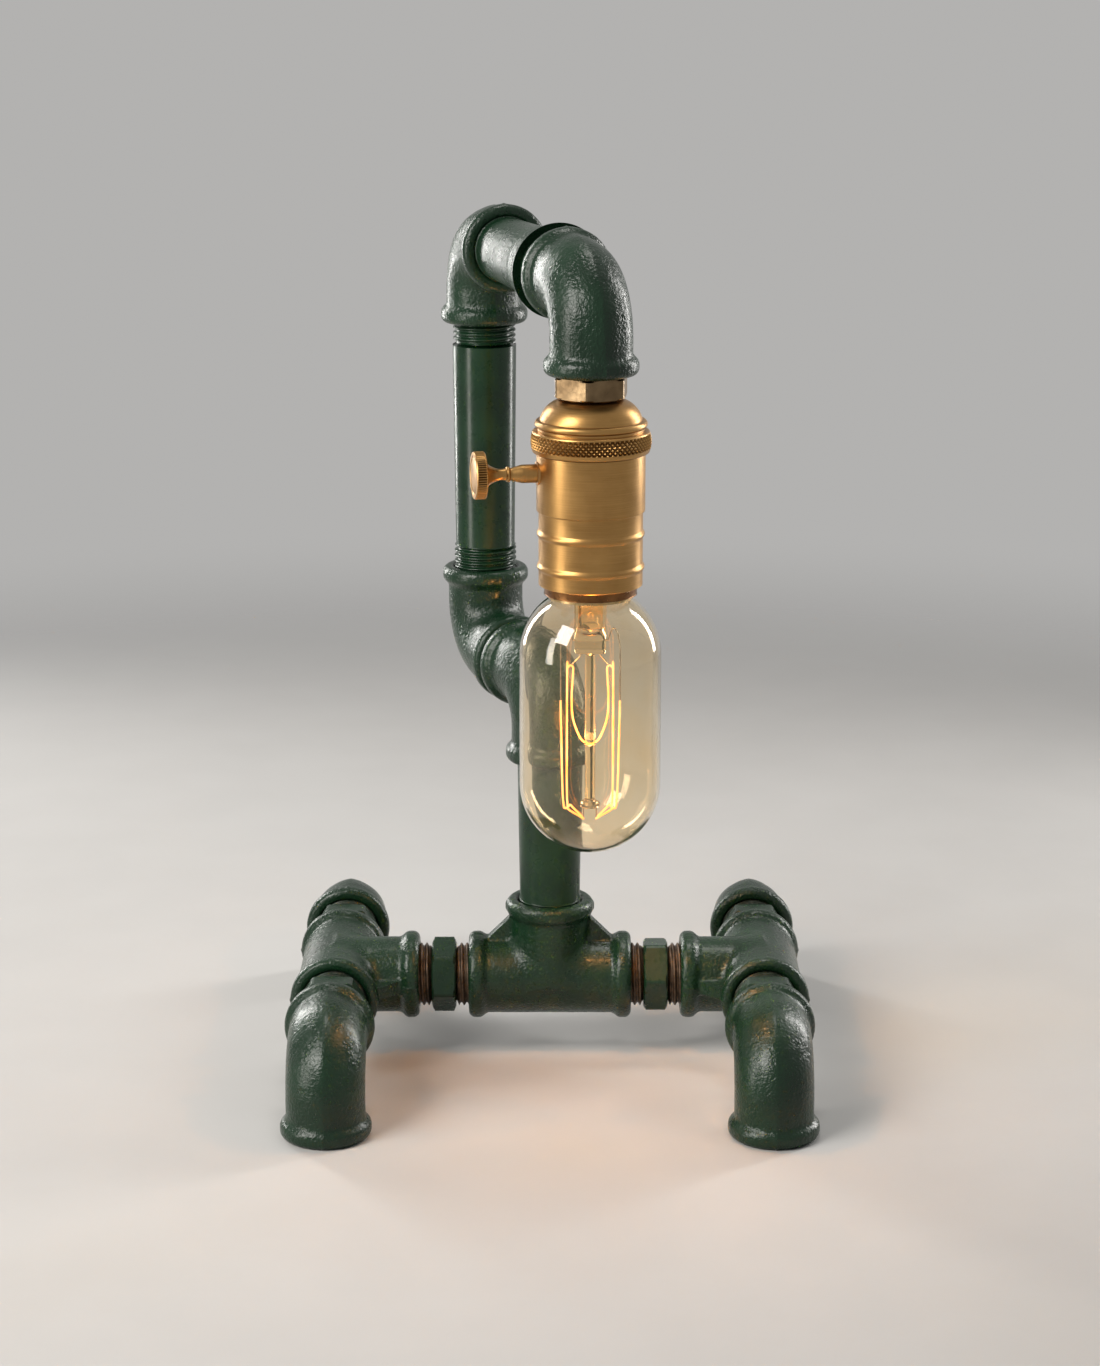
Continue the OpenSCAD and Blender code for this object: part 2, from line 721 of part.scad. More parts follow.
module switch_key() {
    disc = key_reach - key_disc_t;
    shoulder = shell_r + 4.8;
    edge = 0.6;
    color(brass) along_key() rotate_extrude() {
        polygon([[0, 5], [key_core_r, 5], [key_core_r, liner_in_r], [key_stem_r, liner_in_r],
            [key_stem_r, shoulder],
            [2.1, shoulder + 3.2], [2.1, shoulder + 4.2], [1.7, shoulder + 5.4], [1.7, disc - 4],
            [2.3, disc - 2], [3.9, disc], [key_disc_r - edge, disc], [key_disc_r, disc + edge],
            [key_disc_r, key_reach - edge], [key_disc_r - edge, key_reach], [0, key_reach + 0.2]]);
        translate([1.7, shoulder + 4.2]) circle(0.7);
    }
}

module switch_rotor() {
    key_end = 5;
    notch = 2;
    color("#5a3a24") along_key() difference() {
        translate([0, 0, rotor_start]) cylinder(h = key_end - 2 * rotor_start, r = rotor_r);
        translate([0, 0, key_end]) cylinder(h = key_end, r = key_core_r);
        for (side = [-1, 1]) translate([side * rotor_r, 0, 1])
            cube([notch, 4 * notch, 2 * notch], center = true);
    }
}

// ---------- bulb ----------

// Half profile of the glass, grown inwards by a thickness
module glass_profile(in) {
    translate([0, tip_z]) square([bulb_r - in, bulb_straight]);
    intersection() {
        union() for (z = [tip_z, shoulder_z]) translate([0, z]) circle(bulb_r - in);
        translate([0, tip_z - bulb_r]) square([bulb_r, cap_bottom - tip_z + bulb_r]);
    }
    translate([0, shoulder_z]) square([neck_r - in, cap_bottom + cap_lip - in - shoulder_z]);
}

module bulb_glass() {
    color(clear) at_head() rotate_extrude() difference() {
        glass_profile(0);
        glass_profile(glass_t);
    }
}

module bulb_cap() {
    turns = 4;
    rim = 2.5;
    start = rim + 0.5;
    pitch = (cap_screw_h - start - 1) / turns;
    root = cap_r - 0.6;
    inner = neck_r - glass_t;
    color(brass) at_head(cap_bottom) rotate_extrude() polygon(concat(
        [[neck_r, 0], [cap_r, 0], [cap_r, rim], [root, start]],
        [for (i = [0:turns - 1]) each [[root, start + i * pitch], [cap_r, start + (i + 0.5) * pitch]]],
        [[root, cap_screw_h - 1], [root - 1, cap_screw_h], [cap_in_r, cap_screw_h],
            [inner, cap_screw_h - 1.4], [inner, cap_lip + 1], [neck_r, cap_lip]]));
}

module cap_insulator() {
    tongue = 1.4;
    color("#1b2430") at_head(cap_bottom + cap_screw_h)
        difference() {
            union() {
                cylinder(h = insulator_h, r1 = cap_in_r, r2 = button_r + 0.6);
                translate([0, 0, -tongue]) cylinder(h = tongue, r = cap_in_r);
            }
            translate([0, 0, -tongue - 1]) cylinder(h = tongue + insulator_h + 2, r = cap_wall);
        }
}

module cap_contact() {
    color(nickel) at_head(cap_bottom + cap_screw_h) {
        translate([0, 0, -1]) cylinder(h = insulator_h + 1, r = cap_wall);
        translate([0, 0, insulator_h]) cylinder(h = button_h, r1 = button_r, r2 = button_r - 1.4);
    }
}

module bulb_stem() {
    color(clear) at_head() {
        translate([0, 0, pinch_top]) ring(stem_r, stem_r - 1, cap_bottom + cap_lip - glass_t - pinch_top);
        translate([-stem_r, -1.6, pinch_bottom]) cube([2 * stem_r, 3.2, pinch_top - pinch_bottom]);
        translate([0, 0, pinch_top - 1]) cylinder(h = 1, r = stem_r);
    }
}

module glass_rod() {
    color(clear) at_head() {
        translate([0, 0, rod_end]) cylinder(h = pinch_bottom - rod_end, r = glass_rod_r);
        translate([0, 0, rod_end - 1]) cylinder(h = 2, r = 2 * glass_rod_r);
    }
}

// Where the filament hangs, as offsets from the lamp's axis
lead_x = 9.1;
strand_x = 7.1;
strand_y = 2.4;
lit_top = tip_z + 27;
strand_top = shoulder_z - 4.6;
strand_low = tip_z - 8;
hook_x = 2;
hook_z = rod_end - 4.8;
v_y = strand_y + 0.9;
v_low = tip_z + 11.6;

module lead_wires() {
    start = pinch_top - 1.5;
    color(nickel) at_head() for (side = [-1, 1])
        wire([for (p = [[stem_r, 0, start], [stem_r + 0.5, 0, start], [stem_r + 1.1, -0.3, start + 1.8],
            [stem_r + 2.1, -0.9, start + 3.9], [stem_r + 3.3, -1.7, start + 2.6],
            [lead_x - 0.1, -2.2, start - 1.2], [lead_x, -strand_y, start - 5], [lead_x, -strand_y, lit_top]])
            [side * p.x, p.y, p.z]], wire_r, 6);
}

// Hooks that hold the filament, from the pinch, the button at the rod's end and the middle of the rod
module support_wires() {
    gap = filament_r + 0.1;
    color(nickel) at_head() {
        for (side = [-1, 1]) {
            wire([[side * 3, 1, pinch_bottom], [side * 3, 1, pinch_bottom - 0.5],
                [side * (strand_x - 1.5), strand_y, strand_top + 0.5 + gap]], wire_r, 6);
            wire([[side * hook_x, 0, rod_end - 1], [side * hook_x, 0, hook_z + gap]], wire_r, 6);
        }
        wire([[0, glass_rod_r, v_low], [0, v_y - gap, v_low]], wire_r, 6);
    }
}

module filament() {
    half = [[lead_x, -strand_y, lit_top - 0.1], [lead_x - 0.1, -strand_y, lit_top - 8],
        [strand_x + 1.2, -strand_y, strand_low + 3], [strand_x - 0.2, -strand_y * 0.8, strand_low],
        [hook_x + 1.2, -strand_y * 0.3, hook_z + 1], [hook_x, 0, hook_z],
        [hook_x + 1, strand_y * 0.3, hook_z + 1], [strand_x - 1.2, strand_y * 0.8, strand_low],
        [strand_x, strand_y, strand_low + 3], [strand_x, strand_y, strand_top - 1],
        [strand_x - 0.5, strand_y, strand_top + 0.2], [strand_x - 1.5, strand_y, strand_top + 0.5],
        [strand_x - 1.9, strand_y + 0.3, strand_top - 1], [strand_x - 1.4, v_y, v_low + 15],
        [strand_x - 1.8, v_y, v_low + 8], [strand_x - 4, v_y, v_low + 2], [1.2, v_y, v_low + 0.2]];
    other = [for (i = [len(half) - 1:-1:0]) [-half[i].x, half[i].y, half[i].z]];
    color("#ffd27a") at_head() wire(concat(half, [[0, v_y, v_low]], other), filament_r, 6);
}

centre_tee();
side_tee_left();
side_tee_right();
base_nipple_left();
base_nipple_right();
foot_nipple_front_left();
foot_nipple_front_right();
foot_nipple_rear_left();
foot_nipple_rear_right();
foot_elbow_front_left();
foot_elbow_front_right();
foot_elbow_rear_left();
foot_elbow_rear_right();
riser_pipe();
cord_grommet();
lead_base();
riser_elbow();
offset_nipple();
column_elbow();
column_pipe();
lead_column();
arm_elbow();
arm_extension();
lead_arm();
head_nipple();
head_elbow();
hex_bushing();
lamp_rod();
lock_nut();
socket_cap();
clamp_ring();
socket_shell();
insulating_liner();
switch_body();
screw_shell();
centre_contact();
fixed_contacts();
terminal_screws();
lower_collar();
key_bush();
lead_head();
switch_key();
switch_rotor();
bulb_glass();
bulb_cap();
cap_insulator();
cap_contact();
bulb_stem();
glass_rod();
lead_wires();
support_wires();
filament();
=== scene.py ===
# %% [markdown]
# # A pipe table lamp, dressed over its packed frame
# The lamp is built from half-inch malleable fittings painted dark green, a brass lampholder and a tubular
# filament bulb. The packed model already gives every piece its exact place, so this lesson only has to make
# each surface look like what it is: rough casting under thick enamel, cut threads, knurled and brushed brass,
# and thin glass.

import json
import math

import bmesh
import bpy
import numpy as np
from mathutils import Matrix, Vector


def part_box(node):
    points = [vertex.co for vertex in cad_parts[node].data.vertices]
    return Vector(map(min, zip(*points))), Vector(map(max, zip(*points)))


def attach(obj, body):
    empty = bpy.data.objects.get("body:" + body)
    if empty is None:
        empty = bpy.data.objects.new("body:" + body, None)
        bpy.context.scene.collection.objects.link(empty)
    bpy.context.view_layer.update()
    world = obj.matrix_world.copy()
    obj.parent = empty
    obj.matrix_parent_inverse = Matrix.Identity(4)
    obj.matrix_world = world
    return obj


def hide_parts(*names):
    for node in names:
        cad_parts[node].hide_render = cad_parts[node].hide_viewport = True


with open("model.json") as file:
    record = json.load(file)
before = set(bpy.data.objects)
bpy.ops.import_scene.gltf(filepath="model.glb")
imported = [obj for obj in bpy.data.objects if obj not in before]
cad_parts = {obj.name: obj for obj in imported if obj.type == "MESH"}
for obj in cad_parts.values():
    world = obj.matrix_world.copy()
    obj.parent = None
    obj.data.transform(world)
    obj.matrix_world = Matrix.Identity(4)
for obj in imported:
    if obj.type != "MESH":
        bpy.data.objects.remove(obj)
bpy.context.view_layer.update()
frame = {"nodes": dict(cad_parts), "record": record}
MM = 0.001

# %% [markdown]
# ## Camera
# A long lens about a metre away, looking down by nearly 15 degrees. The sensor's width belongs to the
# picture's long side, which is its height here, so the lens follows from how many pixels tall the picture is.

# %% Camera
PICTURE_H, FOCAL_PX, VIEW_DOWN = 1366, 3149.209, 14.7515
camera_data = bpy.data.cameras.new("camera")
camera_data.sensor_width = 36
camera_data.lens = camera_data.sensor_width * FOCAL_PX / PICTURE_H
camera = bpy.data.objects.new("camera", camera_data)
camera.location = (0.00005635, -0.995696, 0.38993)
camera.rotation_euler = (math.radians(90 - VIEW_DOWN), 0, 0)
bpy.context.scene.collection.objects.link(camera)
bpy.context.scene.camera = camera
print("lens", round(camera_data.lens, 2), "mm")

# %% [markdown]
# ## Places and sizes
# Each place is read from a node of the frame, so nothing has to be fitted by eye. The few sizes that a box
# can't tell, such as the wall of a casting's bead, are in millimetres, like the workshop drawings of such
# fittings.

# %% Places, in millimetres


def middle(node):
    """Centre of a CAD node's box, in millimetres."""
    low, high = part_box(node)
    return (low + high) / 2 / MM


def span(node, axis):
    """Lowest and highest coordinate of a CAD node along an axis, in millimetres."""
    low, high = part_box(node)
    return low[axis] / MM, high[axis] / MM


REACH = 27.0  # centre of a fitting to the face of its mouth
BODY_R, BEAD_R, BEAD_W, BEAD_ROUND = 12.6, 14.8, 5.5, 2.2
BEND_R, BORE_R, SOCKET_R, SOCKET_DEPTH, MOUTH_CHAMFER = 16.0, 8.0, 10.475, 12.5, 0.7
THREAD_R, PITCH, THREAD_IN, PIPE_R = 10.475, 1.814, 11.0, 10.65
BASE_Z = REACH
SIDE_X = span("side_tee_right", 0)[0] + REACH
FOOT_Y = span("foot_elbow_rear_left", 1)[0] + REACH
column, riser_z = middle("column_pipe").xy, middle("offset_nipple").z
head, arm_z = middle("lower_collar").xy, middle("arm_extension").z
to_column = math.degrees(math.atan2(column.y, column.x))
to_head = math.degrees(math.atan2(head.y - column.y, head.x - column.x))
print("column", column, "head", head, "bearings", round(to_column, 2), round(to_head, 2))

# %% [markdown]
# ## Tools for making pieces
# A turned piece is one outline spun round its axis, so its corners can be rounded once, in the outline. A
# fillet touches both sides of its corner, so its centre lies on the line that halves the angle between them.

# %% Outlines


def rounded(corners, steps=5):
    """The outline through (r, z) or (r, z, fillet) corners, each fillet as a few short chords."""
    line = []
    for i, (r, z, *fillet) in enumerate(corners):
        here = Vector((r, z))
        if not fillet:
            line.append(here)
            continue
        to_last = (Vector(corners[i - 1][:2]) - here).normalized()
        to_next = (Vector(corners[(i + 1) % len(corners)][:2]) - here).normalized()
        half = math.acos(max(-1, min(1, to_last.dot(to_next)))) / 2
        centre = here + (to_last + to_next).normalized() * (fillet[0] / math.sin(half))
        start = here + to_last * (fillet[0] / math.tan(half)) - centre
        side = 1 if start.x * to_next.y - start.y * to_next.x > 0 else -1
        for k in range(steps + 1):
            a = side * (math.pi - 2 * half) * k / steps
            line.append(centre + Vector((start.x * math.cos(a) - start.y * math.sin(a),
                                         start.x * math.sin(a) + start.y * math.cos(a))))
    return line


print("a corner with a fillet becomes", len(rounded([(0, 0), (2, 0, 0.5), (2, 2)])) - 2, "points")

# %% [markdown]
# ### Rings
# Most pieces are rings of points, one after the other, with quads between them. A solid of revolution is such
# a stack of circles, and so are a hexagon and a pinched tube, whose rings only have another shape.

# %% Rings


def skin(rings, poles=()):
    """Points and faces over rings of points. The outer rings close on two poles, or else on each other."""
    around, count = len(rings[0]), len(rings)
    points = [point for ring in rings for point in ring]
    after = [*range(1, count)] + ([] if poles else [0])
    faces = [(i * around + k, i * around + (k + 1) % around, j * around + (k + 1) % around, j * around + k)
             for i, j in zip(range(count), after) for k in range(around)]
    for pole, row in zip(poles, (0, count - 1)):
        points.append(pole)
        faces += [(len(points) - 1, row * around + k, row * around + (k + 1) % around) for k in range(around)]
    return points, faces


def spun(line, around=96):
    """The skin of an outline spun round z. An outline with both ends on the axis has poles there."""
    on_axis = line[0][0] < 1e-6 and line[-1][0] < 1e-6
    angles = np.arange(around) * 2 * np.pi / around
    rings = [[(r * math.cos(a), r * math.sin(a), z) for a in angles]
             for r, z in (line[1:-1] if on_axis else line)]
    return skin(rings, [(0, 0, line[0][1]), (0, 0, line[-1][1])] if on_axis else [])


print("a square outline spun in 96 steps has", len(spun([(1, 0), (2, 0), (2, 1), (1, 1)])[1]), "faces")

# %% [markdown]
# ### Places
# Every piece is written in millimetres in the place where the lamp has it. Its own coordinates are plain,
# about its own axis, and one matrix takes them there. Matrices are read from the right: turned first, then
# moved.

# %% Places


def moved(points, place):
    """Points in millimetres taken to a place by a matrix."""
    turn = np.array(place.to_3x3())
    return np.asarray(points, float) @ turn.T + np.array(place.translation)


def turned_x(degrees):
    return Matrix.Rotation(math.radians(degrees), 4, "X")


def turned_y(degrees):
    return Matrix.Rotation(math.radians(degrees), 4, "Y")


def turned_z(degrees):
    return Matrix.Rotation(math.radians(degrees), 4, "Z")


def at(x, y, z):
    return Matrix.Translation((x, y, z))


print("the point (1, 0, 0) turned by 90 degrees about z and put at height 5:",
      moved([(1, 0, 0)], at(0, 0, 5) @ turned_z(90)).round(3))

# %% [markdown]
# ### Objects
# Blender counts in metres, so the points are scaled as they become a mesh. Bodies with hard edges are shaded
# smooth all over, and creases are then set where the angle between two faces is large.

# %% Objects


def new_object(name, points, faces, edges=()):
    """An object from points in millimetres."""
    mesh = bpy.data.meshes.new(name)
    faces = faces.tolist() if isinstance(faces, np.ndarray) else [list(face) for face in faces]
    mesh.from_pydata((np.asarray(points, float) * MM).tolist(), list(edges), faces)
    obj = bpy.data.objects.new(name, mesh)
    bpy.context.scene.collection.objects.link(obj)
    return obj


def crease(obj, sharp):
    """Smooth shading, with a crease wherever two faces meet at more than this many degrees."""
    obj.data.shade_smooth()
    obj.data.set_sharp_from_angle(angle=math.radians(sharp))


def turn_outward(obj, merge=None):
    """Turns the faces of closed shells outward, after points closer than this are merged."""
    shell = bmesh.new()
    shell.from_mesh(obj.data)
    if merge:
        bmesh.ops.remove_doubles(shell, verts=shell.verts, dist=merge)
    bmesh.ops.recalc_face_normals(shell, faces=shell.faces)
    shell.to_mesh(obj.data)
    shell.free()


print("one unit of an outline is", MM, "m")

# %% [markdown]
# ### Pieces on the frame
# A piece rides on the body of the CAD node that it stands for, and takes the finish of that node's slot. Its
# shell is closed at its seams and poles first, and its faces turned outward.

# %% Pieces on the frame
BODY = {node: body for body, nodes in frame["record"]["behaviour"]["bodies"].items() for node in nodes}
SLOT = {name: node.data.materials[0].name for name, node in frame["nodes"].items()}
FINISH = {}
SAME_POINT = 2e-7  # metres


def settle_piece(obj, *nodes, sharp=35):
    """Cleans a piece, gives it its finish and ties it to the frame. Without sharp, its creases stay."""
    turn_outward(obj, SAME_POINT)
    if sharp:
        crease(obj, sharp)
    if not obj.data.materials:
        obj.data.materials.append(FINISH[SLOT[nodes[0]]])
    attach(obj, BODY[nodes[0]])
    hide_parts(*nodes)
    return obj


def add_piece(name, shape, place, *nodes, sharp=35):
    """A closed piece of these points and faces in its place, which stands for CAD nodes of one body."""
    return settle_piece(new_object(name, moved(shape[0], place), shape[1]), *nodes, sharp=sharp)


print(len(BODY), "nodes on", len(set(BODY.values())), "bodies, in", len(set(SLOT.values())), "slots")

# %% [markdown]
# ### Joined pieces
# Some pieces are joined from several closed shells that lie in each other, such as a pipe and its two
# threads. Each shell keeps its own finish.

# %% Joined pieces


def part_of(name, shape, place, finish_of, sharp=35):
    """One shell, in its place, of a piece that is joined from several."""
    obj = new_object(name, moved(shape[0], place), shape[1])
    obj.data.materials.append(finish_of)
    turn_outward(obj)
    crease(obj, sharp)
    return obj


def joined(first, *others):
    """Several objects as one piece of several closed shells, each with its own finish."""
    shell = bmesh.new()
    finishes = []
    for obj in (first, *others):
        start = len(shell.faces)
        slots = [slot.material for slot in obj.material_slots]
        finishes += [material for material in slots if material not in finishes]
        shell.from_mesh(obj.data)
        shell.faces.ensure_lookup_table()
        for face in shell.faces[start:]:
            face.material_index = finishes.index(slots[face.material_index])
    # this sets every face's index back to the first finish, so it comes before to_mesh
    first.data.materials.clear()
    for material in finishes:
        first.data.materials.append(material)
    shell.to_mesh(first.data)
    shell.free()
    for obj in others:
        bpy.data.objects.remove(obj)
    return first


# %% [markdown]
# ## Finishes
# A finish is a small tree of shader nodes. What several finishes share is a node group that puts out a height
# or a mask, so that the shine itself stays in each material. All patterns are read from the object's own
# coordinates, so they stay put when the lamp's joints turn. A sum in such a tree takes one node for each
# sign, which is long to write, so a small class lets Python's own signs add those nodes.

# %% Wires between nodes


class Wire:
    """One output in a tree of nodes. Plain arithmetic on it adds the nodes that do the sum."""

    def __init__(self, tree, socket):
        self.tree, self.socket = tree, socket

    def output(self, name):
        """Another output of the same node."""
        return Wire(self.tree, self.socket.node.outputs[name])

    def __add__(self, other):
        return self.tree.math("ADD", self, other)

    def __sub__(self, other):
        return self.tree.math("SUBTRACT", self, other)

    def __rsub__(self, other):
        return self.tree.math("SUBTRACT", other, self)

    def __mul__(self, other):
        return self.tree.math("MULTIPLY", self, other)

    def __truediv__(self, other):
        return self.tree.math("DIVIDE", self, other)

    def __rtruediv__(self, other):
        return self.tree.math("DIVIDE", other, self)

    def __gt__(self, other):
        return self.tree.math("GREATER_THAN", self, other)

    def __lt__(self, other):
        return self.tree.math("LESS_THAN", self, other)


print("a wire takes + - * / < and >, and each sign adds one node")

# %% [markdown]
# ### Trees of nodes
# One method adds any node, with its settings and inputs by name. The others are the few nodes that this
# lamp's finishes and forms use again and again.

# %% Trees of nodes


class Tree:
    """Short words for adding nodes to a tree."""

    def __init__(self, node_tree):
        self.nodes, self.links = node_tree.nodes, node_tree.links

    def feed(self, socket, value):
        """Links a wire to a socket, or sets the socket to a plain value."""
        if isinstance(value, Wire):
            self.links.new(value.socket, socket)
        else:
            socket.default_value = value

    def add(self, kind, *inputs, **named):
        """A new node with its settings and inputs, as the wire from its first output."""
        node = self.nodes.new(kind)
        for name, value in named.items():
            if hasattr(node, name):
                setattr(node, name, value)
            else:
                self.feed(node.inputs[name.replace("_", " ")], value)
        for socket, value in zip(node.inputs, inputs):
            if value is not None:
                self.feed(socket, value)
        return Wire(self, node.outputs[0])

    def math(self, operation, *inputs):
        return self.add("ShaderNodeMath", *inputs, operation=operation)

    def noise(self, vector, scale, detail=2.0, roughness=0.5, seed=0.0):
        """Noise of about 1 / scale metres, as a value from 0 to 1."""
        return self.add("ShaderNodeTexNoise", vector, noise_dimensions="4D", Scale=scale, Detail=detail,
                        Roughness=roughness, W=seed)

    def mm_noise(self, size, **settings):
        """Noise on the piece itself, whose lumps are about this many millimetres across."""
        return self.noise(self.own_position(), 1 / (size * MM), **settings)

    def ramp(self, value, low, high, to_low=0.0, to_high=1.0):
        """The value from low to high, drawn out to another range with a soft start and end."""
        return self.add("ShaderNodeMapRange", value, low, high, to_low, to_high,
                        interpolation_type="SMOOTHSTEP")

    def blend(self, amount, first, second):
        """One colour fading into another."""
        return self.add("ShaderNodeMix", data_type="RGBA", Factor=amount, A=first, B=second).output("Result")

    def bump(self, height, depth, strength=1.0):
        """The normal of a relief of this depth in millimetres."""
        return self.add("ShaderNodeBump", Height=height, Distance=depth * MM, Strength=strength)

    def own_position(self):
        return self.add("ShaderNodeTexCoord").output("Object")

    def scaled(self, vector, factor):
        return self.add("ShaderNodeVectorMath", vector, operation="SCALE", Scale=factor)

    def shared(self, group, output, **inputs):
        """One output of a node group, with these values on its inputs."""
        return self.add("ShaderNodeGroup", node_tree=group, **inputs).output(output)


print("words for nodes:", [name for name in vars(Tree) if not name.startswith("__")])

# %% [markdown]
# ### Groups and finishes
# A group is made empty, with its sockets, and filled in afterwards. A finish starts from the Principled
# shader that every new material has, and only its colour, roughness and normal ever change over the surface.

# %% Groups and finishes
KIND_OF = {int: "Int", float: "Float", tuple: "Vector"}


def node_group(name, family, inputs, outputs):
    """An empty group. A value gives a socket its kind and its usual value, and a word only its kind."""
    group = bpy.data.node_groups.new(name, family + "NodeTree")
    for in_out, sockets in (("INPUT", inputs), ("OUTPUT", outputs)):
        for label, value in sockets.items():
            kind = value if isinstance(value, str) else KIND_OF[type(value)]
            socket = group.interface.new_socket(label, in_out=in_out, socket_type="NodeSocket" + kind)
            if value != kind:
                socket.default_value = value
    tree = Tree(group)
    given = {socket.name: Wire(tree, socket) for socket in group.nodes.new("NodeGroupInput").outputs}
    return group, tree, given, group.nodes.new("NodeGroupOutput").inputs


def finish(name, colour, roughness, metallic=0.0, normal=None, **constants):
    """A material. Its colour, roughness and normal are each a value or a function of its tree."""
    material = bpy.data.materials.new(name)
    material.use_nodes = True
    tree = Tree(material.node_tree)
    sockets = material.node_tree.nodes["Principled BSDF"].inputs
    sockets["Metallic"].default_value = metallic
    for label, value in constants.items():
        sockets[label.replace("_", " ")].default_value = value
    for label, make in (("Base Color", colour), ("Roughness", roughness), ("Normal", normal)):
        if make is not None:
            tree.feed(sockets[label], make(tree) if callable(make) else make)
    return material


print("materials of the frame:", len(bpy.data.materials))

# %% [markdown]
# ### Patches and grain
# Nearly every finish wanders a little: in colour over patches, in shine over smaller ones, and in height over
# the smallest. These three functions write that down once.

# %% Patches and grain


def mottled(size, deep, colour, low=0.3, high=0.7, **noise):
    """A colour that wanders between two, in patches of about this many millimetres."""
    return lambda t: t.blend(t.ramp(t.mm_noise(size, **noise), low, high), deep, colour)


def uneven(size, least, most, detail=4.0):
    """A roughness that wanders between two values."""
    return lambda t: t.ramp(t.mm_noise(size, detail=detail), 0.3, 0.7, least, most)


def grained(size, depth, strength, detail=3.0):
    """The normal of a fine grain, with its size and depth in millimetres."""
    return lambda t: t.bump(t.mm_noise(size, detail=detail), depth, strength)


print("patches for colour and shine, and grain for the normal")

# %% [markdown]
# ### Enamel skin
# Thick enamel sprayed on a sand casting keeps the sand's roughness as soft orange peel, about a millimetre
# across, with finer grain where the coat is thin. This group gives that height, and a mask of where the coat
# has thinned.

# %% Enamel skin
enamel_skin, t, given, out = node_group(
    "enamel_skin", "Shader", {"Peel size": 1.0, "Grain size": 0.5, "Seed": 0.0},
    {"Height": "Float", "Thin": "Float"})
place = t.own_position()
peel = t.noise(place, 1000.0 / given["Peel size"], detail=1.5, seed=given["Seed"])
grain = t.noise(place, 1000.0 / given["Grain size"], detail=2.0, seed=given["Seed"])
broad = t.noise(place, 140.0, detail=3.0, seed=given["Seed"])
t.feed(out["Height"], (t.ramp(peel, 0.25, 0.75) * 0.75 + grain * 0.25) * t.ramp(broad, 0.3, 0.65, 0.55, 1.0))
t.feed(out["Thin"], t.ramp(grain, 0.58, 0.75) * t.ramp(broad, 0.5, 0.72))
print("group", enamel_skin.name, "with", len(enamel_skin.nodes), "nodes")

# %% [markdown]
# ### Turning lines
# A lathe tool leaves fine rings round its axis. They are noise that is squeezed along the axis and left long
# round it, and the same noise makes the shine uneven, as satin brass has it.

# %% Turning lines
LONG_ROUND = 70.0  # lumps a metre, round the axis
turning_lines, t, given, out = node_group(
    "turning_lines", "Shader", {"Line width": 0.1, "Axis": (0.0, 0.0, 1.0)},
    {"Height": "Float", "Tone": "Float"})
place = t.own_position()
along = t.add("ShaderNodeVectorMath", place, given["Axis"], operation="DOT_PRODUCT").output("Value")
squeezed = t.scaled(given["Axis"], along * (1000.0 / given["Line width"]))
rings = t.add("ShaderNodeVectorMath", squeezed, t.scaled(place, LONG_ROUND), operation="ADD")
lines = t.noise(rings, 1.0, detail=2.0, roughness=0.6)
smudge = t.noise(place, 110.0, detail=4.0, roughness=0.55)
t.feed(out["Height"], lines)
t.feed(out["Tone"], lines * 0.6 + smudge * 0.4)
print("group", turning_lines.name, "with", len(turning_lines.nodes), "nodes")

# %% [markdown]
# ### Green enamel
# A dark, slightly blue bottle green with a soft gloss. Where the coat thins over the grain it lets a little
# brown iron through, and its gloss is uneven because the peel catches dust. The pipes are smooth steel, so
# the same enamel lies flatter there, and on the turned hexagons it is in between.

# %% Green enamel
GREEN, GREEN_DEEP = (0.0066, 0.031, 0.0125, 1), (0.0044, 0.0215, 0.0086, 1)
IRON_BROWN = (0.03, 0.022, 0.013, 1)
IRON_SHOWS = 0.16


def enamel_colour(t):
    thin = t.shared(enamel_skin, "Thin")
    patches = t.ramp(t.noise(t.own_position(), 60.0, detail=4.0), 0.35, 0.65)
    return t.blend(thin * IRON_SHOWS, t.blend(patches, GREEN_DEEP, GREEN), IRON_BROWN)


def enamel(name, depth, strength, rough, specular, coat, **skin_sizes):
    """Green enamel over a relief of its own depth. Its roughness is noise from a row of five values."""
    scale, detail, share, least, most = rough
    return finish(
        name, enamel_colour,
        lambda t: t.ramp(t.noise(t.own_position(), scale, detail=detail, roughness=share),
                         0.3, 0.7, least, most),
        normal=lambda t: t.bump(t.shared(enamel_skin, "Height", **skin_sizes), depth, strength),
        Specular_IOR_Level=specular, Coat_Weight=coat[0], Coat_Roughness=coat[1])


CAST_ROUGH, PIPE_ROUGH = (220.0, 5.0, 0.65, 0.23, 0.35), (150.0, 6.0, 0.6, 0.22, 0.36)
cast_green = enamel("cast_green_enamel", 0.21, 1.0, CAST_ROUGH, 0.34, (0.14, 0.16))
pipe_green = enamel("pipe_green_enamel", 0.03, 0.8, PIPE_ROUGH, 0.3, (0.12, 0.12), Peel_size=2.4,
                    Grain_size=0.6)
hex_green = enamel("hexagon_green_enamel", 0.08, 0.8, CAST_ROUGH, 0.34, (0.14, 0.15), Peel_size=1.3)
FINISH["green_enamel"] = cast_green
print("green enamel:", [material.name for material in (cast_green, pipe_green, hex_green)])

# %% [markdown]
# ### Threads, bare and painted
# The die cuts away the coating, and the steel browns under its oil, so the ridges shine a dull dark bronze.
# On the arm and the feet the threads were sprayed over with the fittings, so they are nearly black green.

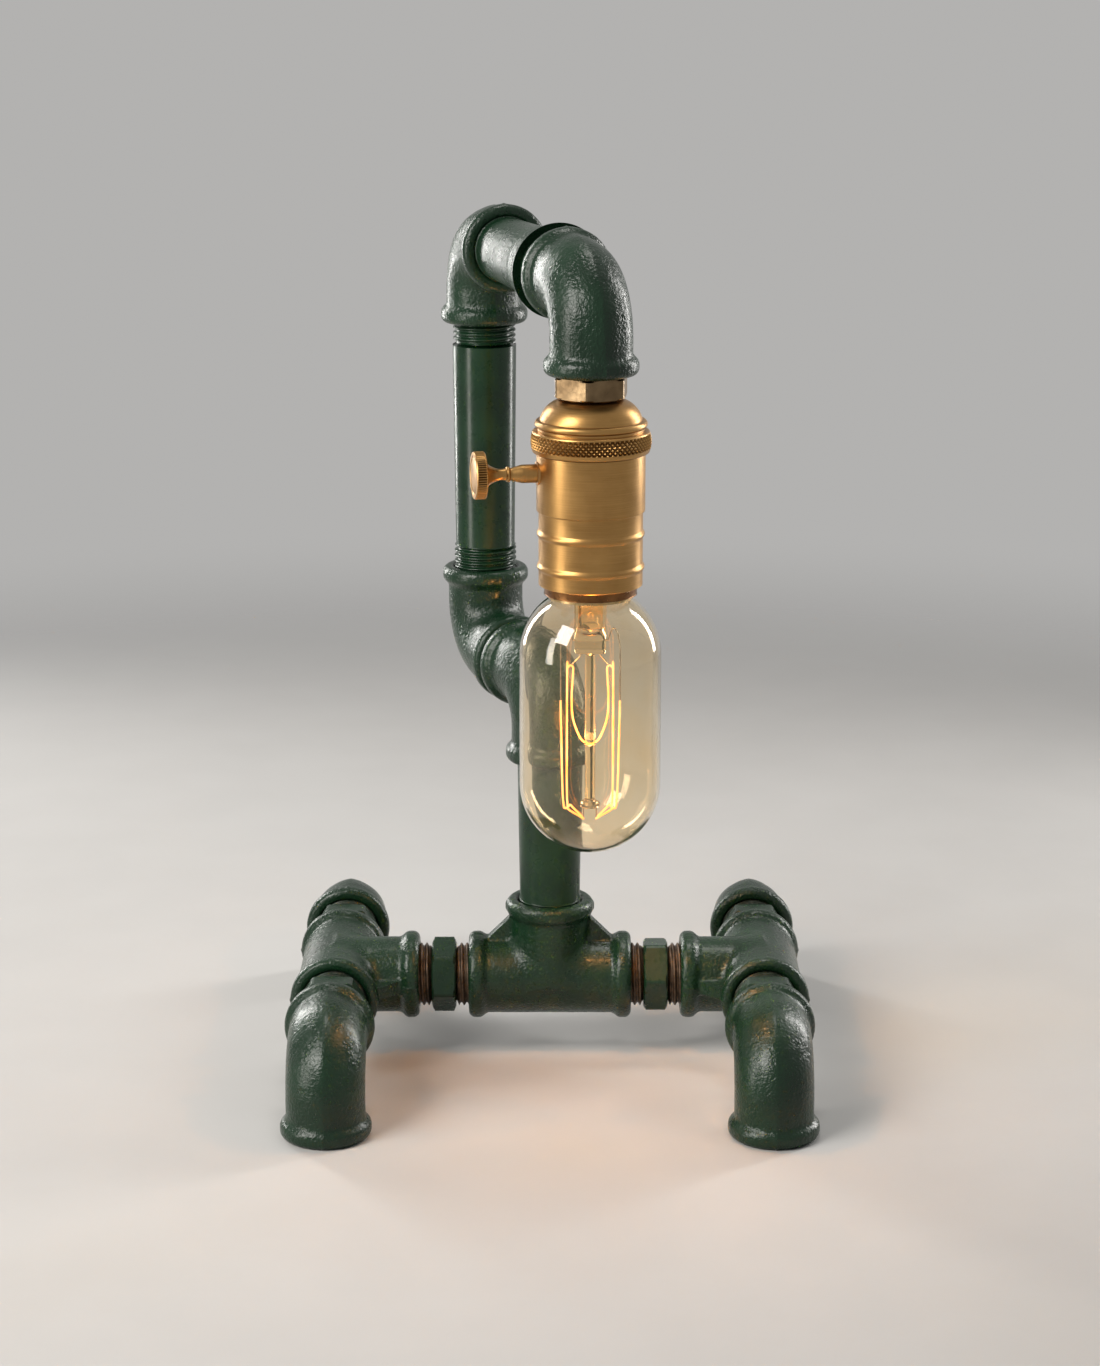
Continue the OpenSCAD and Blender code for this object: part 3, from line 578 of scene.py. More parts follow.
# %% Threads, bare and painted
BRONZE, OIL_BROWN = (0.165, 0.113, 0.076, 1), (0.058, 0.042, 0.03, 1)
BLACK_GREEN, RUBBED_GREEN = (0.006, 0.018, 0.009, 1), (0.035, 0.04, 0.03, 1)
thread_metal = finish("bare_thread", mottled(3.0, OIL_BROWN, BRONZE, 0.35, 0.62, detail=5.0, roughness=0.7),
                      uneven(0.8, 0.3, 0.5), metallic=0.7, normal=grained(0.5, 0.04, 0.6))
painted_thread = finish("painted_thread", mottled(1.5, BLACK_GREEN, RUBBED_GREEN, 0.4, 0.62, detail=4.0),
                        uneven(0.8, 0.25, 0.45), metallic=0.3, normal=grained(0.5, 0.03, 0.6),
                        Specular_IOR_Level=0.34)
FINISH["green_nipple"], FINISH["dark_thread"] = thread_metal, painted_thread
print("threads:", thread_metal.name, painted_thread.name)

# %% [markdown]
# ### Satin brass
# Lacquered brass, turned and left satin: warm yellow, with fine rings round the holder and a broad soft
# shine.
# In the grooves of a knurl, which their own attribute marks, the colour is darkened towards brown as painted
# shade.

# %% Satin brass
# the third colour here, with the strength on the next line, paints shade into a knurl's grooves
BRASS, BRASS_DEEP, GROOVE_SHADE_BROWN = (0.52, 0.3, 0.105, 1), (0.37, 0.2, 0.065, 1), (0.08, 0.038, 0.012, 1)
GROOVE_SHADE_AMOUNT = 0.85
KEY_TURN = 11  # degrees by which the key points forward of the lamp's left
key_way = (-math.cos(math.radians(KEY_TURN)), -math.sin(math.radians(KEY_TURN)), 0.0)


def turned_brass(name, axis):
    """Satin brass with its rings round this axis."""
    def lines(t, output):
        return t.shared(turning_lines, output, Axis=axis)

    def colour(t):
        groove = t.add("ShaderNodeAttribute", attribute_name="groove").output("Fac")
        turned = t.blend(t.ramp(lines(t, "Tone"), 0.3, 0.7), BRASS_DEEP, BRASS)
        # painted shade: the deeper a point lies in a knurl's groove, the browner and darker its colour
        return t.blend(groove * GROOVE_SHADE_AMOUNT, turned, GROOVE_SHADE_BROWN)

    return finish(name, colour, lambda t: t.ramp(lines(t, "Tone"), 0.3, 0.7, 0.28, 0.4), metallic=1.0,
                  normal=lambda t: t.bump(lines(t, "Height"), 0.03, 0.7))


satin_brass = turned_brass("satin_brass_turned", (0.0, 0.0, 1.0))
key_brass = turned_brass("satin_brass_key", key_way)
FINISH["satin_brass"] = satin_brass
print("brass:", satin_brass.name, key_brass.name)

# %% [markdown]
# ### Other metals
# The smaller parts are stamped or machined and left as they are, so they have patches and a fine grain but no
# rings.

# %% Other metals
for slot, name, colour, deep, rough, size in (
        ("bare_brass", "stamped_brass", (0.52, 0.31, 0.12, 1), (0.38, 0.21, 0.08, 1), 0.32, 1.5),
        ("nickel_brass", "dull_nickel_brass", (0.27, 0.185, 0.1, 1), (0.14, 0.092, 0.048, 1), 0.34, 1.5),
        ("copper_brass", "coppery_collar", (0.27, 0.125, 0.045, 1), (0.15, 0.065, 0.024, 1), 0.32, 1.5),
        ("cap_brass", "bulb_cap_brass", (0.6, 0.42, 0.2, 1), (0.42, 0.28, 0.12, 1), 0.3, 1.5),
        ("solder", "tin_solder", (0.55, 0.54, 0.5, 1), (0.36, 0.35, 0.33, 1), 0.35, 1.5),
        ("support_wire", "grey_support_wire", (0.4, 0.37, 0.33, 1), (0.25, 0.23, 0.2, 1), 0.35, 0.5)):
    FINISH[slot] = finish(name, mottled(size * 4, deep, colour, detail=4.0),
                          uneven(size, rough - 0.07, rough + 0.08), metallic=1.0,
                          normal=grained(size / 3, 0.02, 0.5))
print("metals:", sorted(FINISH))

# %% [markdown]
# ### What isn't metal
# Rubber, fibre, porcelain and resin show only at the back or through gaps, but each keeps its own grain.

# %% What isn't metal
for slot, name, colour, deep, rough, size, depth in (
        ("black_rubber", "black_rubber_moulded", (0.02, 0.02, 0.021, 1), (0.009, 0.009, 0.009, 1),
         0.6, 0.6, 0.03),
        ("cord_sheath", "black_lead_sheath", (0.022, 0.022, 0.022, 1), (0.012, 0.012, 0.012, 1),
         0.55, 0.5, 0.02),
        ("fibre_liner", "varnished_fibre", (0.28, 0.22, 0.15, 1), (0.19, 0.14, 0.09, 1), 0.55, 0.4, 0.03),
        ("porcelain", "white_porcelain", (0.8, 0.77, 0.7, 1), (0.7, 0.66, 0.58, 1), 0.35, 1.2, 0.02),
        ("moulded_drum", "brown_resin", (0.14, 0.06, 0.03, 1), (0.08, 0.035, 0.02, 1), 0.4, 0.9, 0.02),
        ("black_glass", "black_vitrite", (0.02, 0.024, 0.03, 1), (0.008, 0.009, 0.012, 1), 0.12, 2.0, 0.01)):
    FINISH[slot] = finish(name, mottled(size * 3, deep, colour, detail=5.0),
                          uneven(size, rough - 0.1, rough + 0.1),
                          normal=grained(size, depth, 0.7, detail=4.0))
print("with the rest:", sorted(FINISH))

# %% [markdown]
# ### Bulb glass
# Thin amber-tinted glass. Light from the lamps passes straight through it, by the shadow ray's branch, so
# that the holder and the filament behind it stay lit. The tint is a little uneven, as it is in blown glass.

# %% Bulb glass
SHADOW_TINT = (0.96, 0.9, 0.8, 1)


def clear_glass(name, colour, rough, ior=1.5):
    material = finish(name, colour, rough, Transmission_Weight=1.0, IOR=ior)
    t, nodes = Tree(material.node_tree), material.node_tree.nodes
    ray = t.add("ShaderNodeLightPath").output("Is Shadow Ray")
    glass = Wire(t, nodes["Principled BSDF"].outputs[0])
    through = t.add("ShaderNodeBsdfTransparent", SHADOW_TINT)
    t.feed(nodes["Material Output"].inputs["Surface"], t.add("ShaderNodeMixShader", ray, glass, through))
    return material


amber_tint = mottled(18.0, (1.0, 0.87, 0.66, 1), (1.0, 0.92, 0.77, 1), detail=3.0)
FINISH["tinted_glass"] = clear_glass("amber_bulb_glass", amber_tint, 0.0)
FINISH["stem_glass"] = clear_glass("stem_glass_clear", (1.0, 0.84, 0.6, 1), 0.02)
print("glass:", FINISH["tinted_glass"].name, FINISH["stem_glass"].name)

# %% [markdown]
# ### Glowing filament
# A carbon thread at a dull heat: a deep amber that turns yellow where it burns hottest.

# %% Glowing filament
GLOW, AMBER_GLOW, GLOW_STRENGTH = (1.0, 0.52, 0.22, 1), (1.0, 0.34, 0.06, 1), 2.2
glow = finish("glowing_carbon", (0.2, 0.08, 0.02, 1), 0.6, Specular_IOR_Level=0.1,
              Emission_Strength=GLOW_STRENGTH)
t = Tree(glow.node_tree)
heat = t.blend(t.ramp(t.mm_noise(8.0), 0.3, 0.7), AMBER_GLOW, GLOW)
t.feed(glow.node_tree.nodes["Principled BSDF"].inputs["Emission Color"], heat)
FINISH["glowing_filament"] = glow
print(len(FINISH), "finishes for the slots:", ", ".join(sorted(FINISH)))

# %% [markdown]
# ## CAD nodes that stay
# Each node of the frame gets its slot's finish. Those that a piece replaces later are hidden by it.

# %% Finishes of the CAD nodes
for name, node in frame["nodes"].items():
    for slot in node.material_slots:
        slot.material = FINISH[SLOT[name]]
print("dressed", len(frame["nodes"]), "nodes")

# %% [markdown]
# ## Castings
# A casting has no sharp inner corner: metal flows into a fillet wherever two forms meet. Such a body is
# easiest to describe as a distance to its forms, joined by a soft minimum. The surface where that distance is
# zero becomes a net of quads, one corner for each small cell that it crosses, and each corner then slides
# onto the surface itself.

# %% A net over a distance field
PROBE, SLIDE_LIMIT = 0.03, 0.3  # millimetres; share of a cell


def surface_net(field, low, high, cell):
    """Quads, facing outward, over the surface where the field is zero."""
    low = np.array(low, float)
    counts = np.ceil((np.array(high) - low) / cell).astype(int) + 1
    grid = np.stack(np.meshgrid(*[low[i] + cell * np.arange(counts[i]) for i in range(3)], indexing="ij"), -1)
    value = field(grid.reshape(-1, 3)).reshape(counts)
    cells = int(np.prod(counts))
    total, number, quads = np.zeros((cells, 3)), np.zeros(cells), []
    for a in range(3):
        b, c = (a + 1) % 3, (a + 2) % 3
        first, second = [slice(None)] * 3, [slice(None)] * 3
        first[a], second[a] = slice(None, -1), slice(1, None)
        near, far = value[tuple(first)], value[tuple(second)]
        cut = np.argwhere((near < 0) != (far < 0))
        near, far = near[tuple(cut.T)], far[tuple(cut.T)]
        point = low + cell * cut
        point[:, a] += cell * near / (near - far)
        around = []
        for step_b, step_c in ((0, 0), (-1, 0), (-1, -1), (0, -1)):
            at_cell = cut.copy()
            at_cell[:, b] += step_b
            at_cell[:, c] += step_c
            key = (at_cell[:, 0] * counts[1] + at_cell[:, 1]) * counts[2] + at_cell[:, 2]
            for i in range(3):
                total[:, i] += np.bincount(key, weights=point[:, i], minlength=cells)
            number += np.bincount(key, minlength=cells)
            around.append(key)
        quad = np.stack(around, 1)
        quad[near > 0] = quad[near > 0][:, ::-1]
        quads.append(quad)
    used = number > 0
    points = total[used] / number[used, None]
    for _ in range(2):
        here = field(points)
        slope = np.stack(
            [field(points + PROBE * e) - field(points - PROBE * e) for e in np.eye(3)], 1) / (2 * PROBE)
        step = slope * (here / np.maximum((slope ** 2).sum(1), 0.25))[:, None]
        points = points - np.clip(step, -SLIDE_LIMIT * cell, SLIDE_LIMIT * cell)
    return points, (np.cumsum(used) - 1)[np.concatenate(quads)]


def soft_min(first, second, blend):
    """The nearer of two distances, with a fillet of about this size between their forms."""
    share = np.clip(0.5 + 0.5 * (second - first) / blend, 0, 1)
    return second + (first - second) * share - blend * share * (1 - share)


print("a fillet of 2 mm between two touching forms fills", -soft_min(0.0, 0.0, 2.0), "mm of their corner")

# %% [markdown]
# ### Mouths and seams
# Every mouth of a fitting has a rounded bead outside and a tapped socket inside, and is faced flat. A fitting
# is cast in two halves of a mould. The halves meet in a ridge like a very flat roof, which cuts every
# highlight in two, and on the beads it stays as a fine rib.

# %% Mouths and seams
SLOPE_45 = 0.707
SEAM_H, SEAM_W, RIB_H, RIB_W, LEG_END = 0.75, 6.0, 0.3, 0.9, REACH - BEAD_W / 2
BEAD_FILLET, RUN_FILLET, WEB_FILLET = 1.7, 3.0, 1.6


def mouth(along, across):
    """Distance to the rounded bead round a mouth, whose face is REACH along the leg."""
    out = across - (BEAD_R - BEAD_ROUND)
    past = np.abs(along - (REACH - BEAD_W / 2)) - (BEAD_W / 2 - BEAD_ROUND)
    return (np.hypot(np.maximum(out, 0), np.maximum(past, 0))
            + np.minimum(np.maximum(out, past), 0) - BEAD_ROUND)


def socket_hole(along, across):
    """Distance to the tapped hole in a mouth, with the small chamfer at its edge."""
    hole = np.maximum(across - SOCKET_R, (REACH - SOCKET_DEPTH) - along)
    return np.minimum(hole, (across - SOCKET_R - MOUTH_CHAMFER - (along - REACH)) * SLOPE_45)


def seam(y, height, width=SEAM_W):
    """How far the parting line lifts the skin beside the plane y = 0, like a very flat roof."""
    return height * np.clip(1 - np.abs(y) / width, 0, 1) ** 1.1


def with_mouths(body, y, legs, bore):
    """The body with a ribbed bead, a flat face and a socket at the end of each leg, and with its bore."""
    for along, across in legs:
        body = soft_min(body, mouth(along, across + RIB_H - seam(y, RIB_H, RIB_W)), BEAD_FILLET)
    body = np.maximum(body, np.maximum(legs[0][0], legs[1][0]) - REACH)
    for along, across in legs:
        body = np.maximum(body, -socket_hole(along, across))
    return np.maximum(body, -bore)


print("the seam stands", seam(0.0, SEAM_H), "mm high, and", round(float(seam(3.0, SEAM_H)), 2),
      "mm 3 mm away from it")

# %% [markdown]
# ### Elbow
# Two short legs and a quarter bend. The seam lies in the middle of a row of cells, so that the net's corners
# fall right on it.

# %% Elbow
CELL = 0.55
BOX_LOW_Y, BOX_LOW_Z, BOX_HIGH = -29.5 * CELL, -16, (28, 16, 28)


def elbow_field(p):
    x, y, z = p.T
    bend = np.hypot(x - BEND_R, z - BEND_R)
    in_bend = (x < BEND_R) & (z < BEND_R)
    x_leg, z_leg = np.hypot(y, z), np.hypot(x, y)
    far = 99.0
    line = np.where(in_bend, np.hypot(bend - BEND_R, y),
                    np.minimum(np.where(x >= BEND_R, x_leg, far), np.where(z >= BEND_R, z_leg, far)))
    body = np.maximum(line - BODY_R - seam(y, SEAM_H), np.maximum(x, z) - LEG_END)
    return with_mouths(body, y, ((x, x_leg), (z, z_leg)), line - BORE_R)


elbow_net = surface_net(elbow_field, (-16, BOX_LOW_Y, BOX_LOW_Z), BOX_HIGH, CELL)
print("elbow:", len(elbow_net[0]), "corners,", 2 * len(elbow_net[1]), "triangles")

# %% [markdown]
# ### Tee
# The run and the branch meet in a wide fillet. A thin web fills each corner between two beads, and it lies in
# the mould's parting plane, so its edge carries the seam. The centre tee also has the hole that the cord
# comes in by, drilled in its back.

# %% Tee
WEB_T, WEB_EDGE, WEB_ROUND, BRANCH_SEAM_H, CORD_HOLE_R = 4.5, BODY_R + REACH - BEAD_W, 0.7, 0.2, 4.6


def tee_field(p):
    x, y, z = p.T
    side = np.abs(x)
    run, branch = np.hypot(y, z), np.hypot(x, y)
    body = np.maximum(run - BODY_R - seam(y, SEAM_H) * (z < 0), side - LEG_END)
    up = np.maximum(branch - BODY_R - seam(y, BRANCH_SEAM_H), np.maximum(z - LEG_END, -z))
    body = soft_min(body, up, RUN_FILLET)
    web = np.maximum(np.abs(y) - WEB_T / 2 + WEB_ROUND, (side + z - WEB_EDGE) * SLOPE_45 + WEB_ROUND)
    web = np.maximum(web, -np.minimum(side, z) + BODY_R - 4) - WEB_ROUND
    body = soft_min(body, web, WEB_FILLET)
    bore = np.minimum(run - BORE_R, np.maximum(branch - BORE_R, -z))
    return with_mouths(body, y, ((side, run), (z, branch)), bore)


def centre_tee_field(p):
    hole = np.maximum(np.hypot(p[:, 0], p[:, 2]) - CORD_HOLE_R, BORE_R - 1 - p[:, 1])
    return np.maximum(tee_field(p), -hole)


tee_net, centre_tee_net = (surface_net(field, (-51.5 * CELL, BOX_LOW_Y, BOX_LOW_Z), BOX_HIGH, CELL)
                           for field in (tee_field, centre_tee_field))
print("tee:", len(tee_net[0]), "corners,", 2 * len(tee_net[1]), "triangles")

# %% [markdown]
# ### Trees of geometry nodes
# A tree is run on an object by a modifier, whose inputs are set by their identifiers. Its result is kept as a
# plain mesh, and the modifier goes, so that the piece rides like any other.

# %% Tools for geometry nodes


def geometry_tree(name, **inputs):
    """A tree that takes and gives geometry, with named inputs and the finish of what it makes."""
    inputs = {label.replace("_", " "): value for label, value in inputs.items()}
    return node_group(name, "Geometry", {"Geometry": "Geometry", **inputs, "Finish": "Material"},
                      {"Geometry": "Geometry"})


def close_tree(t, geometry, given, out):
    """Every tree ends alike: real geometry, with its finish set."""
    real = t.add("GeometryNodeRealizeInstances", geometry)
    t.feed(out["Geometry"], t.add("GeometryNodeSetMaterial", real, None, given["Finish"]))


def grow(obj, tree, **values):
    """Runs a geometry tree on an object and keeps the result as its plain mesh."""
    modifier = obj.modifiers.new("grow", "NODES")
    modifier.node_group = tree
    for item in tree.interface.items_tree:
        if item.in_out == "INPUT" and item.name.replace(" ", "_") in values:
            modifier[item.identifier] = values[item.name.replace(" ", "_")]
    bpy.context.view_layer.update()
    evaluated = obj.evaluated_get(bpy.context.evaluated_depsgraph_get())
    grown = bpy.data.meshes.new_from_object(evaluated)
    obj.modifiers.clear()
    plain, obj.data = obj.data, grown
    bpy.data.meshes.remove(plain)
    while len(grown.materials) > 1 and grown.materials[0] is None:
        grown.materials.pop(index=0)
    grown.name = obj.name
    return obj


def grow_at(name, tree, place_at, sharp, **values):
    """What a tree makes from nothing, in its place. It gets one triangle to stand on, which it drops."""
    obj = grow(new_object(name, [(0, 0, 0), (1, 0, 0), (0, 1, 0)], [(0, 1, 2)]), tree, **values)
    lift = place_at.copy()
    lift.translation *= MM
    obj.data.transform(lift)
    crease(obj, sharp)
    return obj


print("node groups so far:", [group.name for group in bpy.data.node_groups])

# %% [markdown]
# ### Grain of the sand
# The sand leaves low lumps and small pits that no two castings share. A tree of geometry nodes presses them
# into the skin along its normals, only inward, so that the casting never outgrows its drawing. Machined faces
# stay flat.

# %% Grain of the sand
sand_grain, t, given, out = geometry_tree("sand_grain", Lump_size=5.0, Lump_depth=0.1, Pit_size=1.1,
                                          Pit_depth=0.035, Seed=0.0)
place = t.add("GeometryNodeInputPosition")
lumps = t.noise(place, 1000.0 / given["Lump size"], detail=1.0, seed=given["Seed"])
pits = t.noise(place, 1000.0 / given["Pit size"], detail=1.0, seed=given["Seed"])
depth = lumps * given["Lump depth"] + t.ramp(pits, 0.4, 0.75) * given["Pit depth"]
raw_skin = t.add("GeometryNodeInputNamedAttribute", "raw_skin", data_type="FLOAT")
push = t.scaled(t.add("GeometryNodeInputNormal"), depth * raw_skin * -MM)
close_tree(t, t.add("GeometryNodeSetPosition", given["Geometry"], None, None, push), given, out)
print("tree", sand_grain.name, "with", len(sand_grain.nodes), "nodes")

# %% [markdown]
# ### All the castings
# Each is one of three nets, turned into its place and given its own grain.

# %% All the castings


def raw_skin_of(points, mouths):
    """1 on the raw outer skin of a fitting with these mouths, and 0 on machined faces and inside."""
    share = np.ones(len(points))
    for axis in mouths:
        along = points @ np.array(axis, float)
        across = np.linalg.norm(points - along[:, None] * np.array(axis, float), axis=1)
        share *= 1 - np.clip((along - (REACH - 0.9)) / 0.7, 0, 1)
        share *= np.where((across < SOCKET_R + 1.2) & (along > 0), 0, 1)
    return share


def cast(name, net, mouths, place_at, seed):
    """One casting in its place, with its own grain."""
    obj = new_object(name, moved(net[0], place_at), net[1])
    raw = obj.data.attributes.new("raw_skin", "FLOAT", "POINT")
    raw.data.foreach_set("value", raw_skin_of(net[0], mouths).astype(np.float32))
    return grow(obj, sand_grain, Seed=seed * 7.3, Finish=cast_green)


ELBOW, TEE = (elbow_net, ((1, 0, 0), (0, 0, 1))), (tee_net, ((1, 0, 0), (-1, 0, 0), (0, 0, 1)))
castings = [
    ("centre_tee", (centre_tee_net, TEE[1]), at(0, 0, BASE_Z)),
    ("riser_elbow", ELBOW, at(0, 0, riser_z) @ turned_z(to_column) @ turned_x(180)),
    ("column_elbow", ELBOW, at(*column, riser_z) @ turned_z(to_column + 180)),
    ("arm_elbow", ELBOW, at(*column, arm_z) @ turned_z(to_head) @ turned_x(180)),
    ("head_elbow", ELBOW, at(*head, arm_z) @ turned_z(to_head + 180) @ turned_x(180)),
]
for side, side_name in ((-1, "left"), (1, "right")):
    castings.append(("side_tee_" + side_name, TEE,
                     at(side * SIDE_X, 0, BASE_Z) @ turned_z(-90 * side) @ turned_x(90)))
    for end, end_name in ((-1, "front"), (1, "rear")):
        castings.append((f"foot_elbow_{end_name}_{side_name}", ELBOW,
                         at(side * SIDE_X, end * FOOT_Y, BASE_Z) @ turned_z(-90 * end) @ turned_x(180)))
for seed, (node, (net, mouths), place_at) in enumerate(castings):
    settle_piece(cast("cast_" + node, net, mouths, place_at, seed), node, sharp=40)
print("castings:", len(castings))

# %% [markdown]
# ## Threads
# A thread is a ridge wound at a steady pitch, so its radius follows from the height and the turn alone. A
# knurl is two such sets of grooves that cross. Both trees bend a flat grid into a tube and close it over its
# bore, so they share the steps for that. The ridge of a thread dies out over half a turn at each end.

# %% Cut thread
WELD = 2e-6  # metres


def tube_grid(t, given, tall):
    """A flat grid that becomes a tube. Gives its mesh, and the turn, the row and the height of each point."""
    rows_all = given["Rows"] + 3.0
    sheet = t.add("GeometryNodeMeshGrid", 1.0, 1.0, given["Around"] + 1.0, rows_all)
    spot = t.add("ShaderNodeSeparateXYZ", t.add("GeometryNodeInputPosition"))
    row = t.math("ROUND", (spot.output("Y") + 0.5) * (rows_all - 1.0))
    share = t.add("ShaderNodeClamp", (row - 1.0) / (given["Rows"] - 1.0))
    return sheet, spot + 0.5, row, share * given[tall]


def zigzag(t, value):
    """0 at each whole number and 1 halfway between, with straight lines."""
    return 1.0 - t.math("ABSOLUTE", t.math("FRACT", value) * 2.0 - 1.0)


def close_tube(t, given, out, mesh, turn, row, height, outer_r, inner_r):
    """Bends the grid to its radius and height, with its first and last row on the bore, and ends the tree."""
    outside = (row > 0.5) * (row < given["Rows"] + 0.5)
    skin_r = (outer_r - inner_r) * outside + inner_r
    angle = turn * (2 * math.pi)
    tube = t.add("ShaderNodeCombineXYZ",
                 t.math("COSINE", angle) * skin_r, t.math("SINE", angle) * skin_r, height)
    wound = t.add("GeometryNodeSetPosition", mesh, None, t.scaled(tube, MM))
    close_tree(t, t.add("GeometryNodeMergeByDistance", wound, Distance=WELD), given, out)


def back_to_bore(row, given):
    """1 up to the tube's upper edge, and 0 on the last row, which closes the tube at its lower edge."""
    return row < given["Rows"] + 1.5


cut_thread, t, given, out = geometry_tree("cut_thread", Length=22.0, Outer_radius=THREAD_R, Depth=1.0,
                                          Pitch=PITCH, Bore_radius=BORE_R, Chamfer=0.8, Around=64, Rows=80)
sheet, turn, row, along = tube_grid(t, given, "Length")
ridge = t.ramp(zigzag(t, along / given["Pitch"] - turn), 0.12, 0.88)
from_end = t.math("MINIMUM", along, given["Length"] - along)
ridge = ridge * t.ramp(from_end, given["Pitch"] * 0.1, given["Pitch"] * 0.6)
cut_r = given["Outer radius"] - given["Depth"] + ridge * given["Depth"]
cut_r = cut_r - t.math("MAXIMUM", 0.0, given["Chamfer"] - from_end)
close_tube(t, given, out, sheet, turn, row, along * back_to_bore(row, given), cut_r, given["Bore radius"])
ROWS_PER_TURN = 10


def thread(name, length, place_at, finish_of, Pitch=PITCH, **values):
    """A threaded tube that starts at its place and runs along its local z, as an object."""
    rows = int(length / Pitch * ROWS_PER_TURN) + 2
    return grow_at(name, cut_thread, place_at, 50, Length=float(length), Rows=rows, Pitch=Pitch,
                   Finish=finish_of, **values)


print("tree", cut_thread.name, "with", len(cut_thread.nodes), "nodes")

# %% [markdown]
# ### Hexagon nipples of the base
# The hexagon is turned first, which leaves a round chamfer across its corners at both ends, and then painted
# with the fittings. Only the threads beside the centre tee stay bare and brown.

# %% Hexagon nipples
HEX_AF, HEX_W, HEX_CHAMFER, CORNER_OFF = 22.0, 8.0, 0.8, 0.25


def hexagon_band(across_flats, width, bore, chamfer, around=120):
    """A hexagon about z = 0, round a bore, with its corners turned down at both ends."""
    flat = across_flats / 2
    corner = flat / math.cos(math.pi / 6)

    def radius(a, share):
        """Of the hexagon at an angle, where this share of its corners is left. No share means the bore."""
        if share is None:
            return bore
        r = min(flat / math.cos(a % (math.pi / 3) - math.pi / 6), corner - CORNER_OFF)
        return r if share == 1 else min(r, flat - 0.35 + (corner - flat + 0.2) * share)

    lower = [(-width / 2, None), (-width / 2, 0.0), (-width / 2 + chamfer * 0.5, 0.5),
             (-width / 2 + chamfer, 1.0)]
    rings = []
    for z, share in lower + [(-z, share) for z, share in reversed(lower)]:
        angles = [2 * math.pi * k / around for k in range(around)]
        rings.append([(radius(a, share) * math.cos(a), radius(a, share) * math.sin(a), z) for a in angles])
    return skin(rings)


def hex_nipple(node, gap, place_at, turn, finish_of):
    """Two threads that run into the sockets, with the painted hexagon between them."""
    length = gap / 2 + THREAD_IN - HEX_W / 2
    ends = [thread(node + "_thread", length, place_at @ turned_x(180 * flip) @ at(0, 0, HEX_W / 2), finish_of)
            for flip in (0, 1)]
    band = part_of("nipple_" + node, hexagon_band(HEX_AF, HEX_W, BORE_R, HEX_CHAMFER),
                   place_at @ turned_z(turn), hex_green, 12)
    return settle_piece(joined(band, *ends), node, sharp=None)


for side, side_name, turn in ((-1, "left", -14), (1, "right", -37)):
    hex_nipple("base_nipple_" + side_name, SIDE_X - 2 * REACH,
               at(side * SIDE_X / 2, 0, BASE_Z) @ turned_y(90), turn, thread_metal)
    for end, end_name in ((-1, "front"), (1, "rear")):
        hex_nipple(f"foot_nipple_{end_name}_{side_name}", FOOT_Y - 2 * REACH,
                   at(side * SIDE_X, end * FOOT_Y / 2, BASE_Z) @ turned_x(90), 0, painted_thread)
print("hexagon nipples: 6, gaps", SIDE_X - 2 * REACH, FOOT_Y - 2 * REACH)

# %% [markdown]
# ### Pipes
# The riser is cut to length with its threads hidden in the fittings. On the column four turns of thread stay
# in sight below and above, painted over but still crisp.

# %% Pipes
COLUMN_TURNS, PIPE_EDGE, PIPE_CHAMFER = 4.0, 0.35, 0.5


def pipe(node, axis, low, high, seen_turns=0.0):
    """A painted pipe between two mouths at heights low and high, threads included."""
    cut = THREAD_IN + seen_turns * PITCH
    start, end = low - THREAD_IN, high + THREAD_IN
    barrel = spun(rounded([(BORE_R, start + cut), (PIPE_R, start + cut, PIPE_EDGE),
                           (PIPE_R, end - cut, PIPE_EDGE), (BORE_R, end - cut)]))
    parts = [part_of("pipe_" + node, barrel, at(*axis, 0), pipe_green)]
    for name, place_at in (("_lower", at(*axis, start)), ("_upper", at(*axis, end) @ turned_x(180))):
        parts.append(thread(node + name, cut, place_at, pipe_green, Chamfer=PIPE_CHAMFER))
    return settle_piece(joined(*parts), node, sharp=None)


pipe("riser_pipe", (0, 0), BASE_Z + REACH, riser_z - REACH)
pipe("column_pipe", column, riser_z + REACH, arm_z - REACH, COLUMN_TURNS)
print("column pipe between its mouths:", round(arm_z - riser_z - 2 * REACH, 2), "mm")

# %% [markdown]
# ### Close nipples
# Two nipples are all thread. One is hidden between the column's lower elbows, and one shows as a dark groove
# between the arm and the head.

# %% Close nipples
HEAD_GAP = 3.7
offset_place = at(column.x / 2, column.y / 2, riser_z) @ turned_z(to_column) @ turned_y(90)
head_place = at(*head, arm_z) @ turned_z(to_head + 180) @ turned_y(90) @ at(0, 0, REACH + HEAD_GAP / 2)
for node, place_at, gap in (("offset_nipple", offset_place, column.length - 2 * REACH),
                            ("head_nipple", head_place, HEAD_GAP)):
    full = gap + 2 * THREAD_IN
    nipple = thread("close_" + node, full, place_at @ at(0, 0, -full / 2), painted_thread)
    settle_piece(nipple, node, sharp=None)
    print(node, "gap", round(gap, 2), "length", round(full, 2))

# %% [markdown]
# ### Arm extension
# This fitting screws into the rear elbow and has its own socket at the front. It is cast smoother than the
# elbows, so a long even barrel flares to a mouth with a bead.

# %% Arm extension
extension_l = (head - column).length - 2 * REACH - HEAD_GAP
BARREL_R, FLARE, MOUTH_L = 11.2, 6.0, 15.0
tip = REACH + extension_l
line = rounded([
    (BORE_R, REACH), (BARREL_R, REACH, 0.4), (BARREL_R, tip - MOUTH_L - FLARE, 6), (BODY_R, tip - MOUTH_L, 6),
    (BODY_R, tip - BEAD_W, 1.2), (BEAD_R, tip - BEAD_W, BEAD_ROUND), (BEAD_R, tip, BEAD_ROUND),
    (SOCKET_R + MOUTH_CHAMFER, tip), (SOCKET_R, tip - MOUTH_CHAMFER), (SOCKET_R, tip - SOCKET_DEPTH),
    (BORE_R, tip - SOCKET_DEPTH)], 8)
along_arm = at(*column, arm_z) @ turned_z(to_head) @ turned_y(90)
barrel = part_of("extension", spun(line, 128), along_arm, cast_green)
